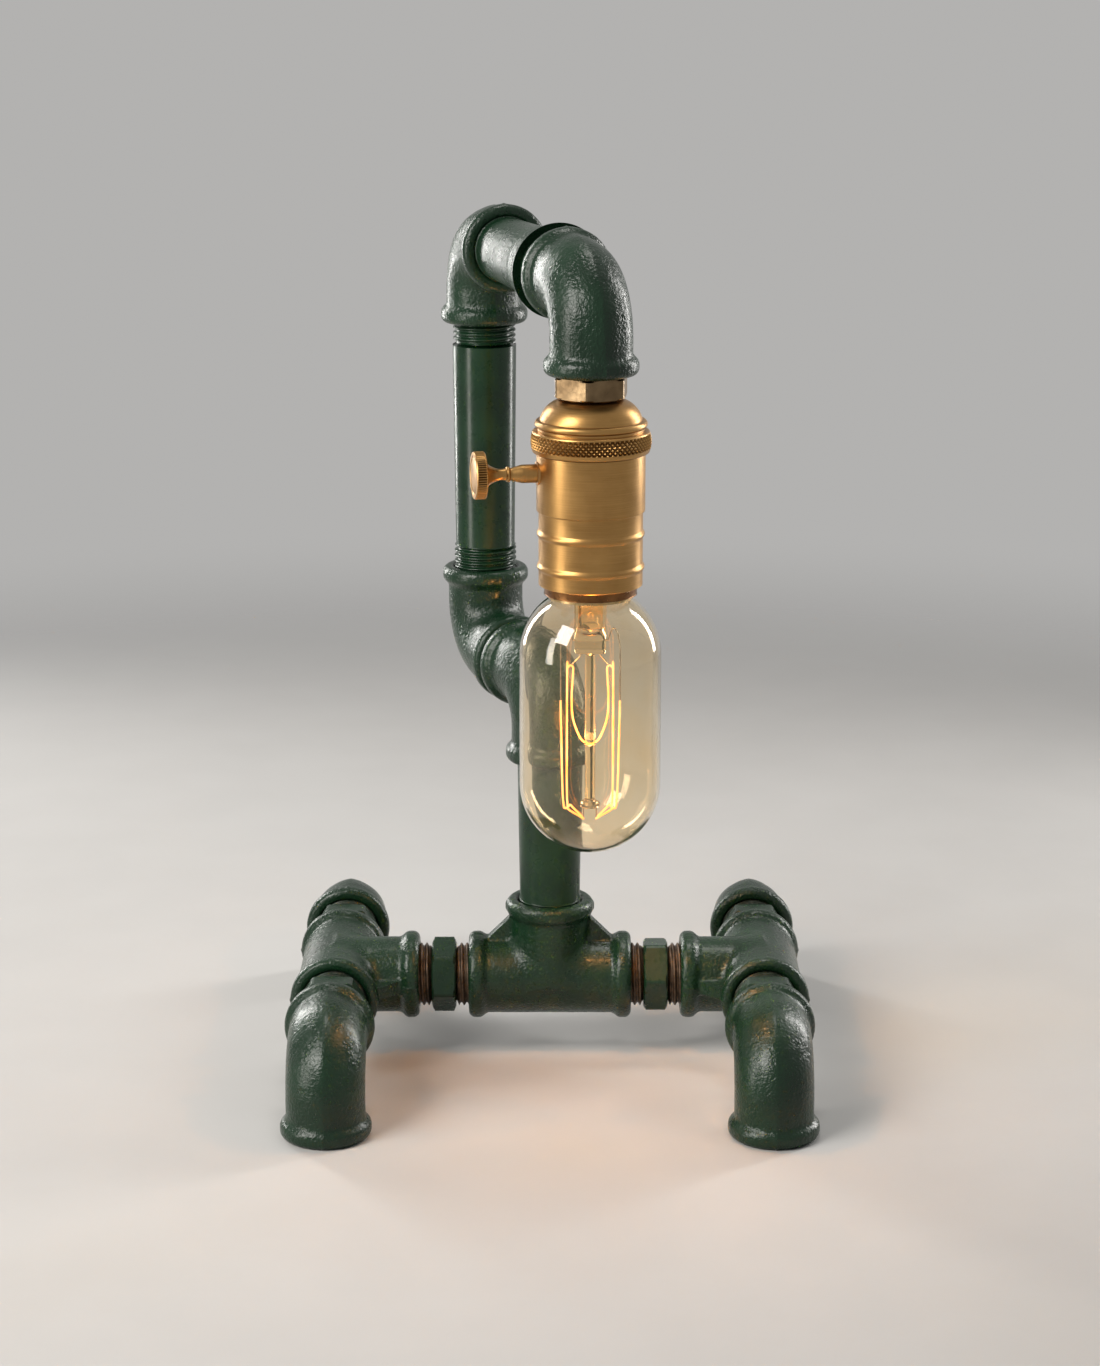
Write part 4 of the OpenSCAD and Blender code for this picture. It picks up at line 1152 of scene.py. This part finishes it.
inner_thread = thread("extension_thread", THREAD_IN, along_arm @ at(0, 0, REACH - THREAD_IN), painted_thread)
settle_piece(joined(barrel, inner_thread), "arm_extension", sharp=None)
print("extension", round(extension_l, 2), "mm")

# %% [markdown]
# ## Lampholder
# A brass holder of turned and drawn parts. Each is one outline spun round the holder's axis, in millimetres.

# %% Levels of the holder
SHEET, SHELL_R, LOWER_R, SKIRT_R = 0.8, 16.5, 15.85, 16.2
cap_high, (ring_low, ring_high) = span("socket_cap", 2)[1], span("clamp_ring", 2)
shell_low, collar_low = span("socket_shell", 2)[0], span("lower_collar", 2)[0]
key_z, step_z = middle("key_bush").z, ring_low - 18
holder_axis = at(*head, 0)


def holder_piece(name, line, *nodes, around=128, sharp=35):
    return add_piece(name, spun(line, around), holder_axis, *nodes, sharp=sharp)


print("holder from", round(collar_low, 2), "to", round(cap_high, 2), "key at", round(key_z, 2))

# %% [markdown]
# ### Dome of the cap
# Deep-drawn sheet: a flat top round the stem, a full shoulder, a rolled bead and a straight skirt that goes
# into the clamp ring. The outline runs up the outside and back down the inside, a sheet's thickness away.

# %% Dome
DOME_R, DOME_ROUND, DOME_EDGE, STEM_HOLE_R = 15.6, 9.0, cap_high - 7.8, 4.8
DOME_BEAD_R, DOME_BEAD_AT = 1.25, SKIRT_R - 0.4
SKIRT_LOW, SKIRT_IN = ring_low + 1, SKIRT_R - SHEET - 0.1


def shoulder_line(inset, angles):
    """The dome's quarter round from its top out to its edge, drawn in by the inset."""
    return [Vector((DOME_R - DOME_ROUND + (DOME_ROUND - inset) * math.sin(a),
                    DOME_EDGE + (cap_high - inset - DOME_EDGE) * math.cos(a))) for a in angles]


bead = [Vector((DOME_BEAD_AT + DOME_BEAD_R * math.cos(a), DOME_EDGE + DOME_BEAD_R * math.sin(a)))
        for a in np.linspace(1.9, -1.2, 18)]
skirt = [Vector(p) for p in ((SKIRT_R, SKIRT_LOW), (SKIRT_IN, SKIRT_LOW), (SKIRT_IN, DOME_EDGE),
                             (DOME_R - SHEET, DOME_EDGE))]
line = [Vector((STEM_HOLE_R, cap_high)), *shoulder_line(0, np.linspace(0, math.pi / 2 - 0.12, 26)), *bead,
        *skirt, *shoulder_line(SHEET, np.linspace(math.pi / 2 - 0.1, 0, 20)),
        Vector((STEM_HOLE_R, cap_high - SHEET))]
holder_piece("dome", line, "socket_cap", sharp=50)
print("dome outline:", len(line), "points")

# %% [markdown]
# ### Knurled clamp ring
# A knurling wheel presses two sets of crossed grooves, which leaves rows of small pyramids. The tree gives
# each point of the band a height from the two sets, and leaves the ring's lips plain. Without slant the two
# sets fall together, which gives the straight knurl of the key's disc.

# %% Clamp ring
PYRAMID_SLOPE, LIP_CHAMFER = 1.35, 0.25
knurl, t, given, out = geometry_tree(
    "knurl", Slant=1.0, Radius=18.3, Bottom=0.0, Height=6.7, Bulge=8.0, Teeth=70.0, Depth=0.72,
    Inner_radius=16.25, Around=560, Rows=44, Plain_top=0.7, Plain_bottom=1.6)
sheet, turn, row, up = tube_grid(t, given, "Height")
from_mid = up - given["Height"] * 0.5
band_r = given["Radius"] - given["Bulge"] + t.math(
    "SQRT", given["Bulge"] * given["Bulge"] - from_mid * from_mid)
steps_up = up * given["Teeth"] / (given["Radius"] * (2 * math.pi))
steps_round = turn * given["Teeth"]
grooves = [zigzag(t, steps_round + steps_up * slant) for slant in (given["Slant"], given["Slant"] * -1.0)]
pyramid = t.math("MINIMUM", t.math("MINIMUM", *grooves) * PYRAMID_SLOPE, 1.0)
knurled = (up > given["Plain bottom"]) * (up < given["Height"] - given["Plain top"])
sunk = (1.0 - pyramid) * given["Depth"] * knurled
edge = t.math("MAXIMUM", 0.0, LIP_CHAMFER - t.math("MINIMUM", up, given["Height"] - up))
# how deep each point lies in a groove, kept so that the brass can paint shade there
marked = t.add("GeometryNodeStoreNamedAttribute", sheet, data_type="FLOAT", Name="groove",
               Value=(1.0 - pyramid) * knurled)
close_tube(t, given, out, marked, turn, row, up * back_to_bore(row, given) + given["Bottom"],
           band_r - sunk - edge, given["Inner radius"])
ring = grow_at("knurled_ring", knurl, holder_axis, 25, Finish=satin_brass, Bottom=float(ring_low),
               Height=float(ring_high - ring_low))
settle_piece(ring, "clamp_ring", sharp=25)
print("knurled ring:", len(ring.data.polygons), "faces")

# %% [markdown]
# ### Shell
# The shell is spun from one tube. Its lower half steps in a little, and two rolled beads stiffen it. Every
# bend keeps a fillet, because sheet brass can't fold sharp.

# %% Shell
SPIGOT_R, SPIGOT_DROP = SKIRT_R - 2 * SHEET - 0.1, 1.7
LOW_BEAD, HIGH_BEAD, COVE = shell_low + 5.7, shell_low + 15.9, 0.3


def rolled(z, radius, bead_r=1.1, proud=0.55):
    """A rolled bead in the wall, from its lower to its upper side, with a small cove at each."""
    reach = math.sqrt(bead_r ** 2 - (bead_r - proud) ** 2)
    tilt = math.atan2(reach, bead_r - proud) * 0.78
    arc = [(radius - bead_r + proud + bead_r * math.cos(a), z + bead_r * math.sin(a))
           for a in np.linspace(-tilt, tilt, 9)]
    return [(radius, z - reach - 0.32, COVE), *arc, (radius, z + reach + 0.32, COVE)]


lower_in = LOWER_R - SHEET
line = rounded([
    (lower_in, shell_low), (LOWER_R - 0.15, shell_low), (LOWER_R, shell_low + 0.15),
    *rolled(LOW_BEAD, LOWER_R), *rolled(HIGH_BEAD, LOWER_R), (LOWER_R, step_z, 0.25),
    (SHELL_R, step_z + 0.1, 0.3), (SHELL_R, ring_low, 0.3), (SPIGOT_R + SHEET, ring_low),
    (SPIGOT_R + SHEET, ring_high - SPIGOT_DROP), (SPIGOT_R, ring_high - SPIGOT_DROP),
    (SPIGOT_R, ring_low - SHEET), (SHELL_R - SHEET, ring_low - SHEET), (SHELL_R - SHEET, step_z + SHEET),
    (lower_in, step_z + SHEET)])
holder_piece("brass_shell", line, "socket_shell", around=160, sharp=40)
print("shell outline:", len(line), "points")

# %% [markdown]
# ### Collar, stem and bushing
# The coppery collar grips the screw shell below, and a threaded stem carries the holder from the hexagon
# bushing.

# %% Collar, stem and bushing
COLLAR_R, COLLAR_IN, COLLAR_TOP_R, COLLAR_UP = 14.45, 13.9, 14.35, 7
line = rounded([(COLLAR_IN, collar_low), (COLLAR_R, collar_low, 0.2), (COLLAR_R, shell_low),
                (COLLAR_TOP_R, shell_low), (COLLAR_TOP_R, shell_low + COLLAR_UP),
                (COLLAR_IN, shell_low + COLLAR_UP)])
holder_piece("copper_collar", line, "lower_collar")
rod_low, rod_high = span("lamp_rod", 2)
rod = thread("threaded_stem", rod_high - rod_low, at(*head, rod_low), FINISH["nickel_brass"], Pitch=1.0,
             Outer_radius=5.0, Depth=0.45, Bore_radius=3.4, Chamfer=0.4)
settle_piece(rod, "lamp_rod", sharp=None)
bush_low, bush_high = span("hex_bushing", 2)
BUSH_AF, BUSH_H, BUSH_TURN, BUSH_BORE_R = 20.8, arm_z - REACH - bush_low, 24, 5.05
nut = part_of("hexagon_bushing", hexagon_band(BUSH_AF, BUSH_H, BUSH_BORE_R, HEX_CHAMFER),
              at(*head, bush_low + BUSH_H / 2) @ turned_z(BUSH_TURN), FINISH["nickel_brass"], 12)
nut_thread = thread("bushing_thread", bush_high - bush_low - BUSH_H, at(*head, bush_low + BUSH_H),
                    FINISH["nickel_brass"], Bore_radius=BUSH_BORE_R)
settle_piece(joined(nut, nut_thread), "hex_bushing", sharp=None)
print("bushing", round(bush_low, 2), round(bush_high, 2), "stem", round(rod_low, 2), round(rod_high, 2))

# %% [markdown]
# ### Switch key
# The stem is turned with a small bead and a trumpet that opens into the disc. The disc's rim has a straight
# knurl, and its face is slightly crowned inside a thin lip. Its outline runs out along the key, from the
# holder's axis.

# %% Switch key
key_place = at(*head, key_z) @ turned_z(180 + KEY_TURN) @ turned_y(90)
DISC_R, DISC_LOW, DISC_HIGH, DISC_CORE = 7.2, 32.6, 36.0, 6.3
FACE_SUNK, CROWN, CROWN_R = 0.22, 0.36, 5.5
NECK_BEAD_R, NECK_R, NECK_AT, TRUMPET_AT, TRUMPET_OPENS = 0.7, 1.7, 25.5, 27.2, 2.5
stem = rounded([(0, 5), (1.5, 5), (1.5, 14.35), (2.8, 14.35), (2.8, 21.3, 2.5), (2.0, 24.3, 1.5),
                (1.9, 24.85)])
bead = [Vector((NECK_R + NECK_BEAD_R * math.cos(a), NECK_AT + NECK_BEAD_R * math.sin(a)))
        for a in np.linspace(-1.25, 1.25, 9)]
trumpet = [Vector((NECK_R + TRUMPET_OPENS * share ** 2.2, TRUMPET_AT + (DISC_LOW - TRUMPET_AT) * share))
           for share in np.linspace(0, 1, 14)]
face = [Vector(p) for p in ((DISC_CORE, DISC_LOW), (DISC_CORE, DISC_HIGH), (5.9, DISC_HIGH),
                            (5.65, DISC_HIGH - FACE_SUNK))]
face += [Vector((CROWN_R * math.cos(a), DISC_HIGH - FACE_SUNK + CROWN * math.sin(a)))
         for a in np.linspace(0.1, math.pi / 2, 9)]
face[-1].x = 0
stem_part = part_of("key", spun(stem + bead + trumpet + face), key_place, key_brass, 30)
disc = grow_at("key_disc", knurl, key_place, 25, Finish=key_brass, Slant=0.0, Radius=DISC_R, Bottom=DISC_LOW,
               Height=DISC_HIGH - DISC_LOW, Bulge=400.0, Teeth=60.0, Depth=0.34, Around=480, Rows=24,
               Inner_radius=DISC_CORE, Plain_top=0.3, Plain_bottom=0.3)
settle_piece(joined(stem_part, disc), "switch_key", sharp=None)
print("key:", len(stem_part.data.polygons), "faces")

# %% [markdown]
# ## Bulb
# A tubular bulb with a glass wall of 0.9 mm. The stem is a flared tube whose end is pinched flat on the leads
# while it is soft, and a thin glass rod stands on it to hold the hooks of the filament.

# %% Bulb envelope
GLASS_R, GLASS_T, NECK_R = 21.8, 0.9, 12.0
glass_low, glass_top = span("bulb_glass", 2)
pinch_z, stem_top = span("bulb_stem", 2)
tip_z = glass_low + GLASS_R


def glass_outline(inset):
    """Half outline of the glass from its tip up to its neck, drawn in by the inset."""
    r, neck = GLASS_R - inset, NECK_R - inset
    low = [(r * math.sin(a), tip_z - r * math.cos(a)) for a in np.linspace(0, math.pi / 2, 40)]
    high = [(r * math.cos(a), pinch_z + r * math.sin(a)) for a in np.linspace(0, math.acos(neck / r), 34)]
    low[0] = (0, low[0][1])
    return [Vector(p) for p in low + high + [(neck, glass_top)]]


holder_piece("bulb_envelope", glass_outline(0) + glass_outline(GLASS_T)[::-1], "bulb_glass")
print("bulb from", round(glass_low, 2), "to", round(glass_top, 2))

# %% [markdown]
# ### Stem and rod
# The stem is lofted: round above, and flattened below where the pliers pinched it. The rod ends in a small
# button.

# %% Stem and rod
STEM_R, STEM_WALL, PINCH_T, PINCH_H, PINCH_EASE, STEM_HOLLOW_AT = 4.9, 1.0, 3.2, 4.5, 6.0, 7.4
ROD_R, BUTTON_R = 1.6, 3.2


def stem_ring(z, inset, around=64):
    """One ring of the stem at a height, flattened where the pinch is."""
    flat = min(1, max(0, (z - pinch_z - PINCH_H) / PINCH_EASE))
    flat = flat * flat * (3 - 2 * flat)
    wide, thin = STEM_R - inset, PINCH_T / 2 + (STEM_R - PINCH_T / 2) * flat - inset
    corner = 0.55 + 0.45 * flat
    ring = []
    for k in range(around):
        c, s = math.cos(2 * math.pi * k / around), math.sin(2 * math.pi * k / around)
        ring.append((wide * math.copysign(abs(c) ** corner, c), thin * math.copysign(abs(s) ** corner, s), z))
    return ring


levels = [(pinch_z, 1.0), (pinch_z + 0.25, 0.35), (pinch_z + 0.7, 0.05)]
levels += [(z, 0) for z in np.linspace(pinch_z + 1.2, pinch_z + 12, 16)]
levels += [(stem_top, 0), (stem_top, STEM_WALL)]
levels += [(z, STEM_WALL) for z in np.linspace(pinch_z + 12, pinch_z + 8.6, 6)]
poles = [(0, 0, pinch_z), (0, 0, pinch_z + STEM_HOLLOW_AT)]
add_piece("pinched_stem", skin([stem_ring(*level) for level in levels], poles), holder_axis, "bulb_stem",
          sharp=50)
rod_low, rod_top = span("glass_rod", 2)
line = [(0, rod_low)] + [(BUTTON_R - 1 + math.sin(a), rod_low + 1 - math.cos(a))
                         for a in np.linspace(0, math.pi, 14)]
line += [(ROD_R + 0.5, rod_low + 2.05), (ROD_R + 0.1, rod_low + 2.4), (ROD_R, rod_low + 2.9),
         (ROD_R, rod_top), (0, rod_top)]
holder_piece("hook_rod", [Vector(p) for p in line], "glass_rod", around=48)
print("stem of", len(levels), "rings, rod from", round(rod_low, 2), "to", round(rod_top, 2))

# %% [markdown]
# ### Wires and filament
# A wire is a round tube along a smooth curve through a few points. The tree fits the curve, spaces it evenly
# and sweeps a small circle along it, so all wires differ only in their points and their thickness.

# %% Bent wire
bent_wire, t, given, out = geometry_tree("bent_wire", Radius=0.2, Spacing=0.4, Sides=10)
path = t.add("GeometryNodeMeshToCurve", given["Geometry"])
smooth = t.add("GeometryNodeCurveSplineType", path, spline_type="CATMULL_ROM")
even = t.add("GeometryNodeResampleCurve", smooth, mode="LENGTH", Length=given["Spacing"] * MM)
circle = t.add("GeometryNodeCurvePrimitiveCircle", Resolution=given["Sides"], Radius=given["Radius"] * MM)
close_tree(t, t.add("GeometryNodeCurveToMesh", even, circle, Fill_Caps=True), given, out)


def wires(name, paths, radius, node, spacing=0.4):
    """Wires along paths of points, offsets from the lamp's axis with true heights, as one piece."""
    tubes = []
    for i, path_points in enumerate(paths):
        edges = [(k, k + 1) for k in range(len(path_points) - 1)]
        tube = new_object(f"{name}_{i}" if i else name, moved(path_points, holder_axis), [], edges)
        tubes.append(grow(tube, bent_wire, Radius=radius, Spacing=spacing, Finish=FINISH[SLOT[node]]))
    return settle_piece(joined(*tubes), node, sharp=60)


print("tree", bent_wire.name, "with", len(bent_wire.nodes), "nodes")

# %% [markdown]
# ### Leads, hooks and filament
# The leads leave the stem, bow outward and run down to where the carbon starts. From there the filament goes
# down, over a hook at the foot of the rod, up on the far side of it, over a hook at the stem, and hangs in a
# V between its two halves. Only the half on the right is written down, and the left is its mirror image.

# %% Wires and filament
WIRE_R, FILAMENT_R = 0.2, 0.32
LEAD_X, STRAND_X, STRAND_Y, HOOK_X, BACK_Y = 9.1, 7.1, 2.4, 2.0, 3.3
rod_end, start_z, lit_top = rod_low + 1, pinch_z + 4.5, tip_z + 27
strand_top, strand_low, hook_z, v_low = pinch_z - 4.6, tip_z - 8, rod_low - 3.8, tip_z + 11.6
lead_path = [(STEM_R - 0.3, 0, start_z), (STEM_R + 0.5, 0, start_z), (STEM_R + 1.1, -0.3, start_z + 1.8),
             (STEM_R + 2.1, -0.9, start_z + 3.9), (STEM_R + 3.3, -1.7, start_z + 2.6),
             (LEAD_X - 0.1, -2.2, start_z - 1.2), (LEAD_X, -STRAND_Y, start_z - 5),
             (LEAD_X, -STRAND_Y, lit_top)]
wires("lead_wire", [[(side * x, y, z) for x, y, z in lead_path] for side in (-1, 1)], WIRE_R, "lead_wires")
hooks = [[(0, ROD_R - 0.2, v_low), (0, BACK_Y - 0.3, v_low)]]
for side in (-1, 1):
    hooks.append([(side * 3, 1, pinch_z + 0.3), (side * 3, 1, pinch_z - 0.5),
                  (side * (STRAND_X - 1.5), STRAND_Y, strand_top + 0.8)])
    hooks.append([(side * HOOK_X, 0, rod_end - 0.9), (side * HOOK_X, 0, hook_z + 0.3)])
wires("hook_wire", hooks, WIRE_R, "support_wires")
half = [(LEAD_X, -STRAND_Y, lit_top - 0.1), (LEAD_X - 0.1, -STRAND_Y, lit_top - 8),
        (STRAND_X + 1.2, -STRAND_Y, strand_low + 3), (STRAND_X - 0.2, -STRAND_Y * 0.8, strand_low),
        (HOOK_X + 1.2, -STRAND_Y * 0.3, hook_z + 1), (HOOK_X, 0, hook_z),
        (HOOK_X + 1, STRAND_Y * 0.3, hook_z + 1), (STRAND_X - 1.2, STRAND_Y * 0.8, strand_low),
        (STRAND_X, STRAND_Y, strand_low + 3), (STRAND_X, STRAND_Y, strand_top - 1.6),
        (STRAND_X - 0.2, STRAND_Y, strand_top - 0.4), (STRAND_X - 0.8, STRAND_Y, strand_top + 0.35),
        (STRAND_X - 1.5, STRAND_Y + 0.1, strand_top + 0.1),
        (STRAND_X - 1.85, STRAND_Y + 0.3, strand_top - 1.2), (STRAND_X - 1.4, BACK_Y, v_low + 15),
        (STRAND_X - 1.8, BACK_Y, v_low + 8), (STRAND_X - 4, BACK_Y, v_low + 2), (1.2, BACK_Y, v_low + 0.2)]
whole = half + [(0, BACK_Y, v_low)] + [(-x, y, z) for x, y, z in reversed(half)]
wires("carbon_filament", [whole], FILAMENT_R, "filament", 0.35)
print("wires:", 2 + len(hooks), "and one filament")

# %% [markdown]
# ### Cord grommet
# The cord enters at the back of the centre tee through a rubber grommet. Its lip is saddle-shaped, because it
# sits on a round body, so the underside of the lip is lifted onto the casting.

# %% Cord grommet
LIP_R, LIP_TOP, GROMMET_BORE, LIP_LOW, SQUEEZE = 6.2, BODY_R + 1.6, 3.2, BODY_R - 3, 0.05
line = rounded([(GROMMET_BORE, BORE_R), (CORD_HOLE_R - SQUEEZE, BORE_R), (CORD_HOLE_R - SQUEEZE, LIP_LOW),
                (CORD_HOLE_R, LIP_LOW), (LIP_R, LIP_LOW), (LIP_R, LIP_TOP, 0.9),
                (GROMMET_BORE + 0.6, LIP_TOP, 0.3), (GROMMET_BORE, LIP_TOP - 0.6, 0.3)])
points, faces = spun(line, 72)
points = [(x, y, max(z, math.sqrt(BODY_R ** 2 - y ** 2)) if math.hypot(x, y) > CORD_HOLE_R - 0.02 else z)
          for x, y, z in points]
add_piece("rubber_grommet", (points, faces), at(0, 0, BASE_Z) @ turned_x(-90), "cord_grommet")
print("grommet at the back of the centre tee")

# %% [markdown]
# ## Studio
# A plain pale floor that fades into a pale background of the same tone, so that the lamp can be seen from any
# side. The background only shows to the camera, in mirrors and through glass.

# %% Floor
FLOOR_TONE, FLOOR_SHADE = (0.6, 0.59, 0.575, 1), (0.585, 0.575, 0.56, 1)
BACKGROUND_TONE = (0.45, 0.444, 0.435, 1)
FLOOR_R, FADE_FROM, FADE_TO, AROUND = 1.0, 0.35, 0.85, 64
rings = [0.1, 0.2, 0.3, 0.45, 0.6, 0.8, FLOOR_R]
angles = np.arange(AROUND) * 2 * np.pi / AROUND
points = [(0, 0, 0)] + [(r / MM * math.cos(a), r / MM * math.sin(a), 0) for r in rings for a in angles]
faces = []
for k in range(AROUND):
    m = (k + 1) % AROUND
    faces.append((0, 1 + k, 1 + m))
    for row in range(1, 1 + AROUND * (len(rings) - 1), AROUND):
        faces.append((row + k, row + AROUND + k, row + AROUND + m, row + m))
floor = new_object("floor", points, faces)
paper = finish("pale_paper", mottled(40.0, FLOOR_SHADE, FLOOR_TONE, detail=4.0), 0.85, Specular_IOR_Level=0.2)
t = Tree(paper.node_tree)
from_middle = t.add("ShaderNodeVectorMath", t.own_position(), operation="LENGTH").output("Value")
t.feed(paper.node_tree.nodes["Principled BSDF"].inputs["Alpha"],
       t.ramp(from_middle, FADE_FROM, FADE_TO, 1.0, 0.0))
floor.data.materials.append(paper)
print("floor of radius", FLOOR_R, "m")

# %% [markdown]
# ### Lights and background
# A broad soft box at the upper left gives a broad satin highlight, and a low one lies along the left of the
# brass. Two long narrow ones behind draw an edge along each pipe, and one lies overhead. A small warm lamp
# inside the bulb stands in for the glow of the filament, whose thin thread would light the parts near it only
# with much noise. The background's colour is written once, and rays that only scatter light see a dim grey.

# %% Lights
KEY_WHITE, LOW_WHITE, RIM_WHITE = (1, 0.97, 0.93), (1, 0.96, 0.9), (1, 0.98, 0.95)
GLOW_ORANGE = (1, 0.5, 0.18)
SCATTER_TONE, GLOW_UP, GLOW_R = (0.12, 0.123, 0.128, 1), 0.014, 0.0015
for name, place, size, watts, colour, aim_z, spread in (
        ("key_light", (-0.62, -0.5, 0.72), (0.4, 0.46), 7.2, KEY_WHITE, 0.14, 180),
        ("left_low", (-0.50, -0.25, 0.24), (0.12, 0.36), 0.3, LOW_WHITE, 0.2, 90),
        ("right_rim", (0.52, 0.32, 0.32), (0.08, 0.5), 1.2, RIM_WHITE, 0.2, 120),
        ("left_rim", (-0.46, 0.52, 0.32), (0.08, 0.5), 1.2, RIM_WHITE, 0.2, 120),
        ("top_light", (0.1, 0.25, 1.3), (0.4, 0.3), 3.6, KEY_WHITE, 0.14, 180)):
    data = bpy.data.lights.new(name, "AREA")
    data.shape, data.size, data.size_y = "RECTANGLE", size[0], size[1]
    data.energy, data.color, data.spread = watts, colour, math.radians(spread)
    light = bpy.data.objects.new(name, data)
    light.location = place
    light.rotation_euler = (Vector((0, 0, aim_z)) - Vector(place)).to_track_quat("-Z", "Y").to_euler()
    light.visible_camera = False
    bpy.context.scene.collection.objects.link(light)
lamp_glow = bpy.data.objects.new("lamp_glow", bpy.data.lights.new("lamp_glow", "POINT"))
lamp_glow.data.energy, lamp_glow.data.color, lamp_glow.data.shadow_soft_size = 0.14, GLOW_ORANGE, GLOW_R
lamp_glow.location = (head.x * MM, head.y * MM, tip_z * MM + GLOW_UP)
lamp_glow.visible_camera = lamp_glow.visible_transmission = False
bpy.context.scene.collection.objects.link(lamp_glow)
world = bpy.data.worlds.new("studio")
world.use_nodes = True
sky = Tree(world.node_tree)
ray = sky.add("ShaderNodeLightPath")
through_or_straight = sky.math("MAXIMUM", ray.output("Is Camera Ray"), ray.output("Is Transmission Ray"))
seen = sky.math("MAXIMUM", through_or_straight, ray.output("Is Glossy Ray"))
background = world.node_tree.nodes["Background"]
sky.feed(background.inputs["Color"], sky.blend(seen, SCATTER_TONE, BACKGROUND_TONE))
background.inputs["Strength"].default_value = 1.0
bpy.context.scene.world = world
bpy.context.scene.view_settings.view_transform = "Standard"
print("lights:", [light.name for light in bpy.data.lights])

# %% [markdown]
# ## The box of the packed model
# The dressed lamp is meant to stay inside the box of the packed model.
